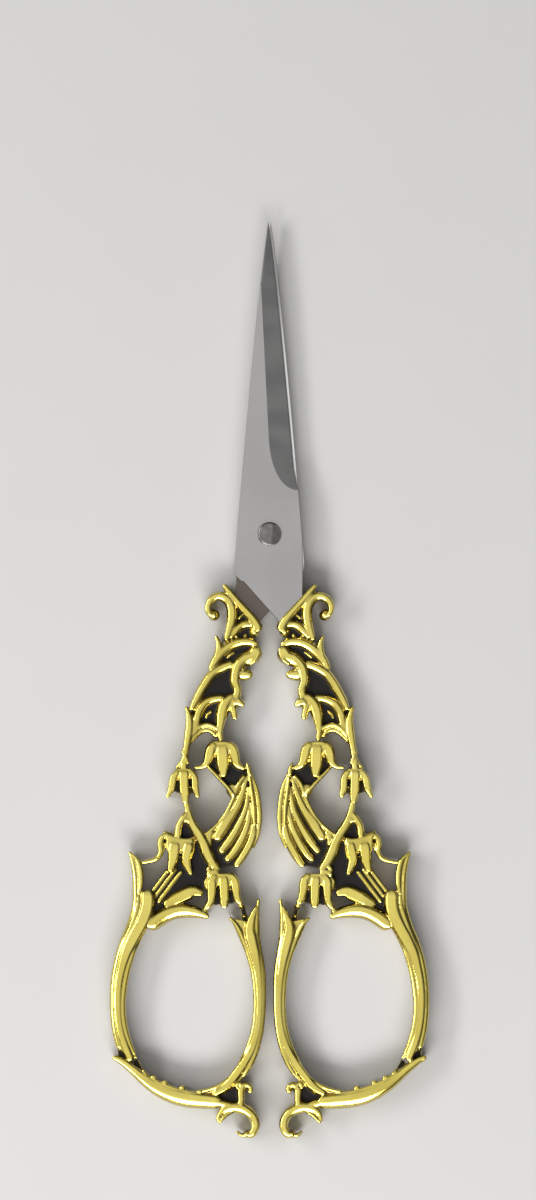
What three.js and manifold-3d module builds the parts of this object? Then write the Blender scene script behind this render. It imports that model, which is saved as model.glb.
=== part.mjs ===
// Embroidery scissors: two steel blades with tangs, two openwork cast handles and one pivot rivet.
// They lie flat and closed, with +Z up and the blade tips along +Y. The origin is on the pivot's axis,
// on the surface that the scissors rest on. Both halves are alike: the rear half is the front half
// turned over about the Y axis, in the plane where the two blades slide on each other.

import * as THREE from "three";
import { mergeVertices } from "three/addons/utils/BufferGeometryUtils.js";
import Module from "manifold-3d";

const wasm = await Module();
wasm.setup();

// Blade sizes, in millimetres
const BLADE_REACH = 49.7;
const BLADE_THICKNESS = 1.4;
const BLADE_HALF_WIDTH = 5.2;
const SPINE_POWER = 0.82;
const EDGE_SETBACK = 0.4;
const EDGE_THICKNESS = 0.3;
const TIP_THICKNESS = 0.75;
const SHOULDER_DROP = 5;
const SHOULDER_ROUND = 2.5;
const SHOULDER_ROUND_WIDTH = 1.5;
const FOOT_SLOPE = 1.12;
const BLADE_GAP = 0.1;

// The ground face of a blade: where it starts above the pivot, how its round heel runs out,
// how far it lies from the middle line at the heel and where it takes up the whole width
const HEEL_HEIGHT = 7;
const HEEL_RUN = 8.5;
const GRIND_OFFSET = 0.3;
const GRIND_TOP = 40.5;

// The tang that holds a blade in its handle
const TANG_THICKNESS = 0.9;
const TANG_WIDTH = 2.2;
const TANG_LENGTH = 10;
const TANG_LEAN = 18;
const TANG_CLEARANCE = 0.15;
const SHOULDER_GAP = 0.2;

// Pivot rivet
const RIVET_DIAMETER = 3;
const RIVET_HEAD_DIAMETER = 3.8;
const RIVET_FLAT_DIAMETER = 2.2;
const RIVET_CLEARANCE = 0.05;
const RIVET_SIDES = 25;

// Relief of the casting: the full thickness of its parts, which all lie about its middle plane
const HANDLE_THICKNESS = 4.2;
const STEM_THICKNESS = 3.8;
const LEAF_THICKNESS = 3.5;
const WEB_THICKNESS = 2.9;

// Widths of the casting's lines, where they are widest
const RAIL_WIDTH = 0.9;
const STEM_WIDTH = 1.2;
const LEAF_WIDTH = 1;
const PETAL_WIDTH = 1.5;
const FLUTE_WIDTH = 1.05;
const FLUTE_COUNT = 5;
const RIB_WIDTH = 0.7;
const RIB_COUNT = 3;
const BEAD_DIAMETER = 1;
const BUD_DIAMETER = 1.6;
const CUP_WIDTH = 4.2;
const CUP_LENGTH = 3;

// A bell as shares of its cup: the cup's middle, and a petal's root and bend, along the axis and beside it
const CUP_MIDDLE = 0.45;
const PETAL_ROOT = 0.35;
const PETAL_ROOT_SPREAD = 0.8;
const PETAL_BEND = 0.9;

// The ribs under the lower bell: the first one's start from the bell's cap, the step from rib to rib,
// how far their ends drop under the loop's lobe, and how far the smooth leaf's end does
const RIB_START = [1.6, -5.6];
const RIB_STEP = [-0.8, -0.2];
const RIB_END_DROP = 0.6;
const LOW_LEAF_DROP = 2.4;

// Finger loop: clear width and length, its bar, the gap it keeps to the scissors' middle line, the height of
// its top bar's middle line below the pivot, and how square its upper and its lower half are
const LOOP_CLEAR_WIDTH = 20.1;
const LOOP_CLEAR_LENGTH = 27;
const LOOP_BAR_WIDTH = 2.2;
const LOOP_MIDDLE_GAP = 0.6;
const LOOP_TOP = 60.8;
const LOOP_SHOULDER_POWER = 2.8;
const LOOP_BASE_POWER = 2.2;

// Fineness of the surfaces
const BAR_STEP = 2.8;
const BAR_TURN = 40;
const TURN_SAMPLES = 24;
const BLADE_STATIONS = 14;
const SHOULDER_STEPS = 4;
const EDGE_FOOT = 1;
const RIVET_ROUND_STEPS = 3;
const RIDGE_SECTION = [[1, 0], [0, 1], [-1, 0], [0, -1]];
const FLAT_SECTION = [[1, 0], [0.5, 1], [-0.5, 1], [-1, 0], [-0.5, -1], [0.5, -1]];
const TIP_HEIGHT_SHARE = 0.7;
const ROUND_SIDES = 8;
const CUT_MARGIN = 1;

// Places that several lines share, in millimetres from the pivot
const RAIL_HEAD = [7.4, -8];
const RAIL_LOW = [2.8, -13.4];
const SHOULDER_BELL_CAP = [7.7, -32.9];
const OUTER_BELL_CAP = [13.7, -37];
const LOWER_BELL_CAP = [14.2, -48.2];
const INNER_BELL_CAP = [7.6, -53.6];
const STEM_FORK = [12.9, -44.5];
const LEAF_TOP = [3.3, -38.2];

// Solids from geometry and back

function solidOf(geometry) {
  const plain = geometry.clone();
  plain.deleteAttribute("normal");
  plain.deleteAttribute("uv");
  const merged = mergeVertices(plain, 1e-5);
  const mesh = new wasm.Mesh({
    numProp: 3,
    vertProperties: new Float32Array(merged.attributes.position.array),
    triVerts: new Uint32Array(merged.index.array),
  });
  return new wasm.Manifold(mesh);
}

function geometryOf(solid) {
  const mesh = solid.getMesh();
  const geometry = new THREE.BufferGeometry();
  geometry.setAttribute("position", new THREE.BufferAttribute(mesh.vertProperties, 3));
  geometry.setIndex(new THREE.BufferAttribute(mesh.triVerts, 1));
  geometry.computeVertexNormals();
  return geometry;
}

function joined(solids) {
  return solids.reduce((whole, solid) => whole.add(solid));
}

// A closed skin over a row of rings that have the same number of points
function loft(rings) {
  const sides = rings[0].length;
  const last = (rings.length - 1) * sides;
  const triangles = [];
  for (let ring = 0; ring < last; ring += sides) {
    for (let side = 0; side < sides; side += 1) {
      const next = (side + 1) % sides;
      triangles.push(ring + side, ring + next, ring + sides + side);
      triangles.push(ring + next, ring + sides + next, ring + sides + side);
    }
  }
  for (let side = 1; side < sides - 1; side += 1) {
    triangles.push(0, side + 1, side);
    triangles.push(last, last + side, last + side + 1);
  }
  const geometry = new THREE.BufferGeometry();
  geometry.setAttribute("position", new THREE.Float32BufferAttribute(rings.flat(2), 3));
  geometry.setIndex(triangles);
  return geometry;
}

function plate(outline, bottom, top) {
  const shape = new THREE.Shape(outline.map(([x, y]) => new THREE.Vector2(x, y)));
  const geometry = new THREE.ExtrudeGeometry(shape, { depth: top - bottom, bevelEnabled: false });
  return solidOf(geometry.translate(0, 0, bottom));
}

// The value of an evenly spaced list at a share from 0 to 1
function blend(list, share) {
  const place = share * (list.length - 1);
  const index = Math.min(Math.floor(place), list.length - 2);
  return THREE.MathUtils.lerp(list[index], list[index + 1], place - index);
}

function between([ax, ay], [bx, by], share) {
  return [THREE.MathUtils.lerp(ax, bx, share), THREE.MathUtils.lerp(ay, by, share)];
}

function moved(points, [dx, dy]) {
  return points.map(([x, y]) => [x + dx, y + dy]);
}

// How many degrees a flat curve turns through from end to end, left and right turns alike
function turnOf(curve) {
  const tangents = Array.from({ length: TURN_SAMPLES + 1 }, (_, i) => curve.getTangentAt(i / TURN_SAMPLES));
  const turns = tangents.slice(1).map((tangent, i) => tangent.angleTo(tangents[i]));
  return THREE.MathUtils.radToDeg(turns.reduce((sum, turn) => sum + turn, 0));
}

// A bar along a smooth line through the points, about the casting's middle plane. The taper is
// an evenly spaced list of shares of the width, and thin ends are a little lower too.
function bar(path, width, taper, thickness, section = RIDGE_SECTION) {
  const curve = new THREE.CatmullRomCurve3(path.map(([x, y]) => new THREE.Vector3(x, y, 0)));
  const steps = Math.max(2, Math.round(curve.getLength() / BAR_STEP), Math.ceil(turnOf(curve) / BAR_TURN));
  const rings = [];
  for (let step = 0; step <= steps; step += 1) {
    const centre = curve.getPointAt(step / steps);
    const along = curve.getTangentAt(step / steps);
    const share = blend(taper, step / steps);
    const halfWidth = share * width / 2;
    const halfThickness = thickness / 2 * THREE.MathUtils.lerp(TIP_HEIGHT_SHARE, 1, Math.min(share, 1));
    rings.push(section.map(([across, up]) => [
      centre.x - along.y * across * halfWidth,
      centre.y + along.x * across * halfWidth,
      up * halfThickness,
    ]));
  }
  return solidOf(loft(rings));
}

function ball([x, y], diameter, thickness) {
  const geometry = new THREE.SphereGeometry(diameter / 2, ROUND_SIDES, ROUND_SIDES / 2);
  geometry.rotateX(Math.PI / 2);
  geometry.scale(1, 1, thickness / diameter);
  return solidOf(geometry.translate(x, y, 0));
}

// Blade

// The spine is a power curve that reaches the middle line a little past the tip,
// so that the tip lies where the spine and the set back edge cross.
const spineRun = BLADE_REACH / (1 - (EDGE_SETBACK / 2 / BLADE_HALF_WIDTH) ** (1 / SPINE_POWER));

function spineX(y) {
  return -BLADE_HALF_WIDTH * Math.max(0, 1 - y / spineRun) ** SPINE_POWER;
}

function edgeX(y) {
  return -spineX(y) - EDGE_SETBACK;
}

// The line along the handle's rail where the blade's shoulder stops, a gap short of it
const railDirection = new THREE.Vector2(RAIL_HEAD[0] - RAIL_LOW[0], RAIL_HEAD[1] - RAIL_LOW[1]).normalize();
const shoulderOffset = RAIL_WIDTH / 2 + SHOULDER_GAP;
const shoulderPoint = [
  RAIL_LOW[0] - railDirection.y * shoulderOffset,
  RAIL_LOW[1] + railDirection.x * shoulderOffset,
];
const shoulderSlope = railDirection.y / railDirection.x;

function shoulderY(x) {
  return shoulderPoint[1] + (x - shoulderPoint[0]) * shoulderSlope;
}

function bladeOutline() {
  const heights = Array.from({ length: BLADE_STATIONS }, (_, i) => {
    return THREE.MathUtils.lerp(-SHOULDER_DROP, BLADE_REACH, Math.sin(i / BLADE_STATIONS * Math.PI / 2));
  });
  const corner = [spineX(-SHOULDER_DROP), -SHOULDER_DROP];
  const cornerEnd = [corner[0] + SHOULDER_ROUND_WIDTH, corner[1] - SHOULDER_ROUND];
  const footDrop = cornerEnd[1] + FOOT_SLOPE * cornerEnd[0] - shoulderPoint[1]
    + shoulderSlope * shoulderPoint[0];
  const footX = footDrop / (FOOT_SLOPE + shoulderSlope);
  const sideX = -spineX(-SHOULDER_DROP) - EDGE_SETBACK;
  const neck = [sideX, shoulderY(sideX)];

  const shape = new THREE.Shape();
  shape.moveTo(-EDGE_SETBACK / 2, BLADE_REACH);
  heights.toReversed().forEach((y) => shape.lineTo(spineX(y), y));
  shape.quadraticCurveTo(corner[0], cornerEnd[1], cornerEnd[0], cornerEnd[1]);
  shape.lineTo(footX, shoulderY(footX));
  shape.lineTo(neck[0], neck[1]);
  shape.quadraticCurveTo(sideX + EDGE_SETBACK, -SHOULDER_DROP, edgeX(0), 0);
  heights.filter((y) => y > EDGE_FOOT).forEach((y) => shape.lineTo(edgeX(y), y));
  return shape.extractPoints(SHOULDER_STEPS).shape.map(({ x, y }) => [x, y]);
}

// How far across the ground face starts at a height: round at the heel, then a straight line to the spine
function grindX(y) {
  const rise = (y - HEEL_HEIGHT) / (GRIND_TOP - HEEL_HEIGHT);
  const line = Math.max(spineX(y), THREE.MathUtils.lerp(GRIND_OFFSET, spineX(GRIND_TOP), rise));
  const run = Math.min(1, (y - HEEL_HEIGHT) / HEEL_RUN);
  const round = 1 - Math.sqrt(run * (2 - run));
  return line + (edgeX(HEEL_HEIGHT) - line) * round;
}

// What the grinding takes off: a wedge whose depth grows from the start line to the cutting edge
function grindCut() {
  const heelRuns = [0, 0.03, 0.12, 0.3, 0.6];
  const heelHeights = heelRuns.map((run) => HEEL_HEIGHT + run * HEEL_RUN);
  const straightCount = 8;
  const straightHeights = Array.from({ length: straightCount + 1 }, (_, i) => {
    return THREE.MathUtils.lerp(HEEL_HEIGHT + HEEL_RUN, BLADE_REACH, i / straightCount);
  });
  const rings = [...heelHeights, ...straightHeights].map((y) => {
    const start = grindX(y);
    const run = Math.min(1, (y - HEEL_HEIGHT) / HEEL_RUN);
    const drop = (BLADE_THICKNESS - EDGE_THICKNESS) * Math.sqrt(run * (2 - run));
    const slope = drop / Math.max(edgeX(y) - start, EDGE_SETBACK);
    const end = edgeX(y) + CUT_MARGIN;
    const deep = BLADE_THICKNESS - slope * (end - start);
    const over = BLADE_THICKNESS + CUT_MARGIN;
    return [[start, y, BLADE_THICKNESS], [end, y, deep], [end, y, over], [start, y, over]];
  });
  return solidOf(loft(rings.toReversed()));
}

// The blade thins towards its tip from where the ground face takes up its whole width
function tipCut() {
  const low = [GRIND_TOP, BLADE_THICKNESS];
  const high = [BLADE_REACH, TIP_THICKNESS];
  const slope = (high[1] - low[1]) / (high[0] - low[0]);
  const past = [BLADE_REACH + CUT_MARGIN, TIP_THICKNESS + slope * CUT_MARGIN];
  const over = BLADE_THICKNESS + CUT_MARGIN;
  const profile = [low, past, [past[0], over], [low[0], over]];
  const rings = [-BLADE_HALF_WIDTH, BLADE_HALF_WIDTH].map((x) => profile.map(([y, z]) => [x, y, z]));
  return solidOf(loft(rings));
}

// The tang leaves the middle of the shoulder and leans outwards into the handle
function tangOutline(clearance) {
  const lean = THREE.MathUtils.degToRad(TANG_LEAN);
  const along = [Math.sin(lean), -Math.cos(lean)];
  const across = [Math.cos(lean), Math.sin(lean)];
  const rootX = shoulderPoint[0] + TANG_WIDTH / 2;
  const root = [rootX, shoulderY(rootX)];
  const half = TANG_WIDTH / 2 + clearance;
  const ends = [[-TANG_WIDTH / 2, half], [TANG_LENGTH + clearance, half]];
  const corners = [
    [ends[0][0], -ends[0][1]],
    [ends[1][0], -ends[1][1]],
    [ends[1][0], ends[1][1]],
    [ends[0][0], ends[0][1]],
  ];
  return corners.map(([far, side]) => [
    root[0] + along[0] * far + across[0] * side,
    root[1] + along[1] * far + across[1] * side,
  ]);
}

function blade() {
  const bore = new THREE.Shape().absarc(0, 0, RIVET_DIAMETER / 2 + RIVET_CLEARANCE, 0, 2 * Math.PI);
  const borePoints = bore.getPoints(RIVET_SIDES).slice(1).map(({ x, y }) => [x, y]);
  return plate(bladeOutline(), 0, BLADE_THICKNESS)
    .subtract(grindCut())
    .subtract(tipCut())
    .add(plate(tangOutline(0), 0, TANG_THICKNESS))
    .subtract(plate(borePoints, -CUT_MARGIN, BLADE_THICKNESS + CUT_MARGIN));
}

// Handle, upper shank: the rail along the blade, the crook, three leaf bands and two stems over a web

function upperShank() {
  const rail = [RAIL_HEAD, [6.3, -9.4], [5.2, -10.7], [3.9, -12.1], RAIL_LOW, [2, -14.6], [1.7, -15.9]];
  const crook = [[6.9, -17], [6.4, -15.2], [6, -13.5], [6, -11.8], [6.7, -10.4], [7.9, -9.8], [9.1, -10.3],
    [9.8, -11.4], [9.6, -12.6], [8.7, -12.9]];
  const crossbar = [[2.4, -14.5], [3.8, -14.4], [4.9, -14.9], [6.3, -16.2]];
  const topBand = [[8.3, -18.6], [6.5, -17.7], [4.6, -17.1], [2.6, -17.4], [2, -18.4], [2.7, -19.6],
    [4.2, -20.2]];
  const horn = [[8.6, -16.1], [8.1, -17.5], [8.4, -19.2], [9.5, -21.7]];
  const innerStem = [[3.9, -20], [5.1, -21], [5.5, -23], [5.1, -24.8], [5.4, -26.3], [6.8, -27], [7.6, -29],
    [7.9, -31.2], SHOULDER_BELL_CAP];
  const bud = [[5.2, -22], [3.8, -22.1], [2.6, -22.4]];
  const middleBand = [[5.8, -20.6], [7.4, -21.2], [8.9, -22.1], [10, -23.4], [11.2, -25.5], [12.5, -28]];
  const lowBand = [[7, -26], [9.2, -26.3], [10.4, -27.1], [11.3, -28.6], [12.4, -31.5]];
  const leaflets = [[[5.5, -26.2], [4.8, -27], [4, -27.5]], [[6.1, -26.8], [5.6, -28.3], [5.3, -29.6]]];
  const arch = [[7.9, -31.4], [9.1, -30.6], [10.2, -30.4], [11.4, -31], [12.8, -32.4]];
  const outerRail = [[13.3, -27.4], [12.8, -29.2], [12.8, -31], [13.1, -33], [13.4, -35], OUTER_BELL_CAP];
  const leafTip = [[13.3, -35.6], [14, -36.6], [15, -37.2]];
  const web = [[2.6, -13.8], [5.5, -10.6], [6.1, -12.5], [6.7, -16.6], [8.2, -18.4], [9.2, -21.4],
    [10.4, -24], [12.2, -27.7], [12.6, -31.6], [10.2, -30.5], [8, -31.2], [7.4, -28.6], [6.3, -26.6],
    [5.1, -25.5], [5.3, -22.4], [4.1, -20.3], [2.4, -19], [2.2, -17.6], [2.6, -16.2]];
  return [
    plate(web, -WEB_THICKNESS / 2, WEB_THICKNESS / 2),
    bar(rail, RAIL_WIDTH, [0.6, 0.9, 1, 1, 1.2, 1.6], STEM_THICKNESS),
    bar(crook, STEM_WIDTH, [0.6, 0.9, 0.9, 1, 0.9, 0.7, 0.5], STEM_THICKNESS),
    ball(crook.at(-1), BUD_DIAMETER, STEM_THICKNESS),
    bar(crossbar, LEAF_WIDTH, [0.7, 0.8, 0.6], LEAF_THICKNESS),
    bar(topBand, LEAF_WIDTH, [0.6, 1, 0.9, 1.2, 1.5, 1.3], STEM_THICKNESS),
    bar(horn, LEAF_WIDTH, [0.3, 0.9, 1.1, 0.5], LEAF_THICKNESS),
    bar(innerStem, STEM_WIDTH, [1.1, 0.9, 0.8, 1.1, 1, 0.9, 0.7], STEM_THICKNESS),
    bar(bud, LEAF_WIDTH, [0.6, 1.3, 0.5], LEAF_THICKNESS),
    bar(middleBand, LEAF_WIDTH, [0.5, 1, 1, 0.6], LEAF_THICKNESS),
    bar(lowBand, LEAF_WIDTH, [0.5, 0.9, 0.9, 0.6], LEAF_THICKNESS),
    ...leaflets.map((leaflet) => bar(leaflet, LEAF_WIDTH, [0.8, 1, 0.5], LEAF_THICKNESS)),
    bar(arch, LEAF_WIDTH, [0.6, 0.8, 0.6], LEAF_THICKNESS),
    bar(outerRail, STEM_WIDTH, [0.3, 0.9, 0.9, 0.8, 1], STEM_THICKNESS),
    bar(leafTip, LEAF_WIDTH, [0.6, 0.8, 0.5], LEAF_THICKNESS),
  ];
}

// A bell flower: a round cup under its cap with one petal to each tip, which leaves the cup beside its axis
function bell(cap, tips) {
  const foot = tips[1];
  const length = Math.hypot(foot[0] - cap[0], foot[1] - cap[1]);
  const along = [(foot[0] - cap[0]) / length, (foot[1] - cap[1]) / length];
  const at = (far, side) => [
    cap[0] + along[0] * far - along[1] * side,
    cap[1] + along[1] * far + along[0] * side,
  ];
  const cup = new THREE.SphereGeometry(0.5, ROUND_SIDES, ROUND_SIDES / 2).rotateX(Math.PI / 2);
  cup.scale(CUP_WIDTH, CUP_LENGTH, STEM_THICKNESS);
  cup.rotateZ(Math.atan2(along[0], -along[1]));
  const [cupX, cupY] = at(CUP_LENGTH * CUP_MIDDLE, 0);
  const petals = tips.map((tip, index) => {
    const side = (index - 1) * (CUP_WIDTH - PETAL_WIDTH) / 2;
    const root = at(CUP_LENGTH * PETAL_ROOT, side * PETAL_ROOT_SPREAD);
    const bend = at(CUP_LENGTH * PETAL_BEND, side);
    return bar([root, bend, tip], PETAL_WIDTH, [0.7, 1, 0.9, 0.45], HANDLE_THICKNESS);
  });
  return [solidOf(cup.translate(cupX, cupY, 0)), ...petals];
}

// Handle, middle: the fluted leaf with the small cusp above it
function flutedLeaf() {
  const innerEdge = [LEAF_TOP, [1.9, -43.3], [2.2, -48.8], [5.2, -53.2]];
  const outerEdge = [LEAF_TOP, [5.5, -43.3], [7.1, -46.2], [8.9, -48.9]];
  const flutes = Array.from({ length: FLUTE_COUNT }, (_, flute) => {
    const path = innerEdge.map((point, i) => between(point, outerEdge[i], flute / (FLUTE_COUNT - 1)));
    return bar(path, FLUTE_WIDTH, [0.6, 0.8, 1, 0.9], LEAF_THICKNESS);
  });
  const topHorn = [[3.6, -36.3], [3.4, -37.4], LEAF_TOP];
  const rim = [[5.2, -41.2], [6.6, -44], [8.2, -46.2], [11.2, -48.3]];
  const cusp = [[9.4, -37.2], [8, -38.9], [6.8, -40.2], [5.6, -41.7]];
  const web = [LEAF_TOP, [2, -42], [1.8, -46], [2.6, -49.6], [4.6, -52.6], [7.6, -53.2], [9.2, -52],
    [10.8, -48.3], [8.2, -46.4], [6.5, -44.2], [5.4, -41.6], [7.6, -39], [9, -37.3], [4.2, -37.2]];
  return [
    plate(web, -WEB_THICKNESS / 2, WEB_THICKNESS / 2),
    ...flutes,
    bar(topHorn, LEAF_WIDTH, [0.5, 0.9, 1], LEAF_THICKNESS),
    bar(rim, RIB_WIDTH, [0.8, 1, 1], LEAF_THICKNESS),
    bar(cusp, RIB_WIDTH, [0.8, 0.8, 0.8], LEAF_THICKNESS),
  ];
}

// Handle, middle: the stem that forks under the outer bell, with the web and the ribs under the lower bell
function lowerShank(loop) {
  const mainStem = [[13.4, -42], STEM_FORK, [11.6, -47.5], [10.1, -50.5], INNER_BELL_CAP];
  const branch = [STEM_FORK, [14, -45.7], [14.7, -47], LOWER_BELL_CAP];
  const bellHorn = [LOWER_BELL_CAP, [15.6, -48], [16.8, -47.3]];
  const curl = [[15.6, -48.6], [16.9, -48.9], [17.2, -50.5], [18.2, -51.9], loop.hornNeck];
  const ribEnd = loop.lobeTop;
  const ribs = Array.from({ length: RIB_COUNT }, (_, rib) => {
    const start = LOWER_BELL_CAP.map((place, axis) => place + RIB_START[axis] + rib * RIB_STEP[axis]);
    const end = [ribEnd[0], ribEnd[1] - RIB_END_DROP - rib * RIB_END_DROP];
    return bar([start, between(start, end, 0.5), end], RIB_WIDTH, [1, 1, 1], LEAF_THICKNESS);
  });
  const lowLeaf = [[10.8, -56.8], [13, -56.9], [15, -57.8], [ribEnd[0], ribEnd[1] - LOW_LEAF_DROP]];
  const web = [[11.3, -48.4], [12.8, -48.6], [14, -53.4], [16, -53.7], [18.2, -57.2], [17.2, -58.8],
    [15, -58], [13, -57.2], [10.8, -57], [9.8, -55.4], [8.8, -53.2], [10.2, -50.6]];
  return [
    plate(web, -WEB_THICKNESS / 2, WEB_THICKNESS / 2),
    bar(mainStem, STEM_WIDTH, [0.8, 1, 1, 1], STEM_THICKNESS),
    bar(branch, STEM_WIDTH, [0.7, 0.7, 0.7], STEM_THICKNESS),
    bar(bellHorn, LEAF_WIDTH, [1, 0.9, 0.5], LEAF_THICKNESS),
    bar(curl, LEAF_WIDTH, [0.9, 1, 0.8, 0.7], LEAF_THICKNESS),
    ...ribs,
    bar(lowLeaf, LEAF_WIDTH, [0.8, 1.5, 1.4, 0.9], LEAF_THICKNESS),
  ];
}

// Handle, finger loop: places on its middle line, by an angle that starts at +X and turns towards the tips
const loopHalfWidth = (LOOP_CLEAR_WIDTH + LOOP_BAR_WIDTH) / 2;
const loopHalfLength = (LOOP_CLEAR_LENGTH + LOOP_BAR_WIDTH) / 2;
const loopCentre = [LOOP_MIDDLE_GAP + LOOP_BAR_WIDTH / 2 + loopHalfWidth, -LOOP_TOP - loopHalfLength];

function loopPoint(degrees, outset = 0) {
  const angle = THREE.MathUtils.degToRad(degrees);
  const power = 2 / (Math.sin(angle) > 0 ? LOOP_SHOULDER_POWER : LOOP_BASE_POWER);
  const x = Math.sign(Math.cos(angle)) * Math.abs(Math.cos(angle)) ** power;
  const y = Math.sign(Math.sin(angle)) * Math.abs(Math.sin(angle)) ** power;
  return [loopCentre[0] + (loopHalfWidth + outset) * x, loopCentre[1] + (loopHalfLength + outset) * y];
}

function loopLine(from, to, count, outset = 0) {
  return Array.from({ length: count }, (_, i) => {
    return loopPoint(THREE.MathUtils.lerp(from, to, i / (count - 1)), outset);
  });
}

// The loop's own places that the shank ties to
function loopPlaces() {
  const shoulder = loopPoint(62);
  const lobe = moved([[0.3, 5], [0.1, 3.6], [0.3, 1.6]], shoulder);
  const horn = moved([[3.1, 11.7], [2.2, 9.9], [1.8, 7.6], [1.8, 5.3], [2.4, 2.6]], shoulder);
  const foot = loopPoint(-112);
  return { lobe, horn, foot, lobeTop: lobe[0], hornNeck: horn[1], barTip: loopPoint(97) };
}

function fingerLoop(places) {
  const outerArm = [...places.lobe, ...loopLine(48, -38, 7, -0.5)];
  const outerStrip = [...places.horn, ...loopLine(44, -32, 6, 0.9)];
  const innerArm = [loopPoint(117, 1), ...loopLine(136, 262, 8)];
  const innerHorn = [[1.75, -58], [1.95, -61], loopPoint(150, 0.4), loopPoint(180, 0.3)];
  const base = [...moved([[3.4, 2], [1.8, 1.1]], loopPoint(-40)), ...loopLine(-44, -112, 6)];
  const beads = [-50, -60, -70, -84].map((degrees) => loopPoint(degrees, -LOOP_BAR_WIDTH / 2));
  const link = [[4.4, -58.6], [4, -60], loopPoint(130)];
  const barLink = [[10, -59.2], places.barTip];
  return [
    bar(loopLine(97, 58, 5), LOOP_BAR_WIDTH, [0.5, 0.9, 1, 1], HANDLE_THICKNESS, FLAT_SECTION),
    bar(outerArm, LOOP_BAR_WIDTH, [0.6, 0.9, 0.9, 0.8, 0.8, 0.7, 0.4], HANDLE_THICKNESS, FLAT_SECTION),
    bar(outerStrip, LOOP_BAR_WIDTH, [0.2, 0.5, 0.6, 0.6, 0.6, 0.5, 0.3], STEM_THICKNESS),
    bar(innerArm, LOOP_BAR_WIDTH, [0.3, 0.8, 1, 1, 1, 1, 0.9, 0.6], HANDLE_THICKNESS, FLAT_SECTION),
    bar(innerHorn, LOOP_BAR_WIDTH, [0.2, 0.5, 0.6, 0.4], STEM_THICKNESS),
    bar(base, LOOP_BAR_WIDTH, [0.3, 0.7, 0.9, 1, 1, 0.9], HANDLE_THICKNESS, FLAT_SECTION),
    ...beads.map((bead) => ball(bead, BEAD_DIAMETER, STEM_THICKNESS)),
    bar(link, LEAF_WIDTH, [0.8, 0.8, 0.8], LEAF_THICKNESS),
    bar(barLink, LEAF_WIDTH, [0.9, 0.9], LEAF_THICKNESS),
  ];
}

// Handle, foot: the open curl under the loop with a small trefoil beside it
function footCurl(foot) {
  const curl = moved([[0.1, -4.4], [-0.6, -2.8], [-2, -1.9], [-3.8, -2], [-5.4, -3], [-6.2, -4.5], [-6, -6],
    [-4.6, -6.9]], foot);
  const bridge = moved([[0.6, -0.6], [-0.8, -1.2], [-2.4, -1.9]], foot);
  const stalk = moved([[-3.2, -1.8], [-3.6, 0], [-4.3, 1.3]], foot);
  const lobes = moved([[-4.3, 1.3], [-3.5, 1.5], [-4.9, 0.6]], foot);
  const web = moved([[0, -0.8], [-2.4, 1.2], [-3.4, -0.3], [-2.6, -1.9]], foot);
  return [
    plate(web, -WEB_THICKNESS / 2, WEB_THICKNESS / 2),
    bar(curl, STEM_WIDTH, [0.4, 0.8, 1, 1.1, 1, 0.9, 0.6], STEM_THICKNESS),
    ball(curl.at(-1), BEAD_DIAMETER, LEAF_THICKNESS),
    bar(bridge, STEM_WIDTH, [1.2, 1, 0.9], STEM_THICKNESS),
    bar(stalk, LEAF_WIDTH, [0.9, 0.9, 0.8], LEAF_THICKNESS),
    ...lobes.map((lobe) => ball(lobe, BEAD_DIAMETER, LEAF_THICKNESS)),
  ];
}

// The whole casting, with the pocket that the blade's tang sits in
function handle() {
  const places = loopPlaces();
  const casting = joined([
    ...upperShank(),
    ...bell(SHOULDER_BELL_CAP, [[3.9, -37.3], [7.3, -38.4], [11.6, -37.3]]),
    ...bell(OUTER_BELL_CAP, [[11.2, -42], [13.4, -42.8], [16.4, -42]]),
    ...flutedLeaf(),
    ...lowerShank(places),
    ...bell(LOWER_BELL_CAP, [[12.5, -54.3], [14.2, -53.6], [16, -53.9]]),
    ...bell(INNER_BELL_CAP, [[4.4, -59], [7.2, -59.6], [10, -59.5]]),
    ...fingerLoop(places),
    ...footCurl(places.foot),
  ]);
  const bottom = BLADE_GAP / 2 - TANG_CLEARANCE;
  const top = BLADE_GAP / 2 + TANG_THICKNESS + TANG_CLEARANCE;
  return casting.subtract(plate(tangOutline(TANG_CLEARANCE), bottom, top));
}

// Rivet: alike at both ends, each with a round shoulder and ground flat, about the middle plane
function rivet() {
  const end = HANDLE_THICKNESS / 2;
  const seat = BLADE_GAP / 2 + BLADE_THICKNESS + RIVET_CLEARANCE;
  const flat = RIVET_FLAT_DIAMETER / 2;
  const head = RIVET_HEAD_DIAMETER / 2;
  const side = new THREE.Path().moveTo(RIVET_DIAMETER / 2, 0);
  side.lineTo(RIVET_DIAMETER / 2, seat);
  side.lineTo(head, seat);
  side.lineTo(head, (end + seat) / 2);
  side.quadraticCurveTo(head, end, flat, end);
  side.lineTo(flat, end + CUT_MARGIN);
  side.lineTo(0, end + CUT_MARGIN);
  const upper = side.getPoints(RIVET_ROUND_STEPS);
  const lower = upper.slice(1).reverse().map(({ x, y }) => new THREE.Vector2(x, -y));
  const turned = new THREE.LatheGeometry([...lower, ...upper], RIVET_SIDES).rotateX(Math.PI / 2);
  const reach = RIVET_HEAD_DIAMETER;
  const square = [[-reach, -reach], [reach, -reach], [reach, reach], [-reach, reach]];
  return solidOf(turned)
    .subtract(plate(square, end, end + 2 * CUT_MARGIN))
    .subtract(plate(square, -end - 2 * CUT_MARGIN, -end));
}

// Materials

function steel() {
  return new THREE.MeshStandardMaterial({ color: 0xa6a4a1, metalness: 1, roughness: 0.4 });
}

function gold() {
  return new THREE.MeshStandardMaterial({ color: 0xd9c65a, metalness: 1, roughness: 0.25 });
}

function rivetSteel() {
  return new THREE.MeshStandardMaterial({ color: 0x7e7a77, metalness: 1, roughness: 0.35 });
}

// Assembly

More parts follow.
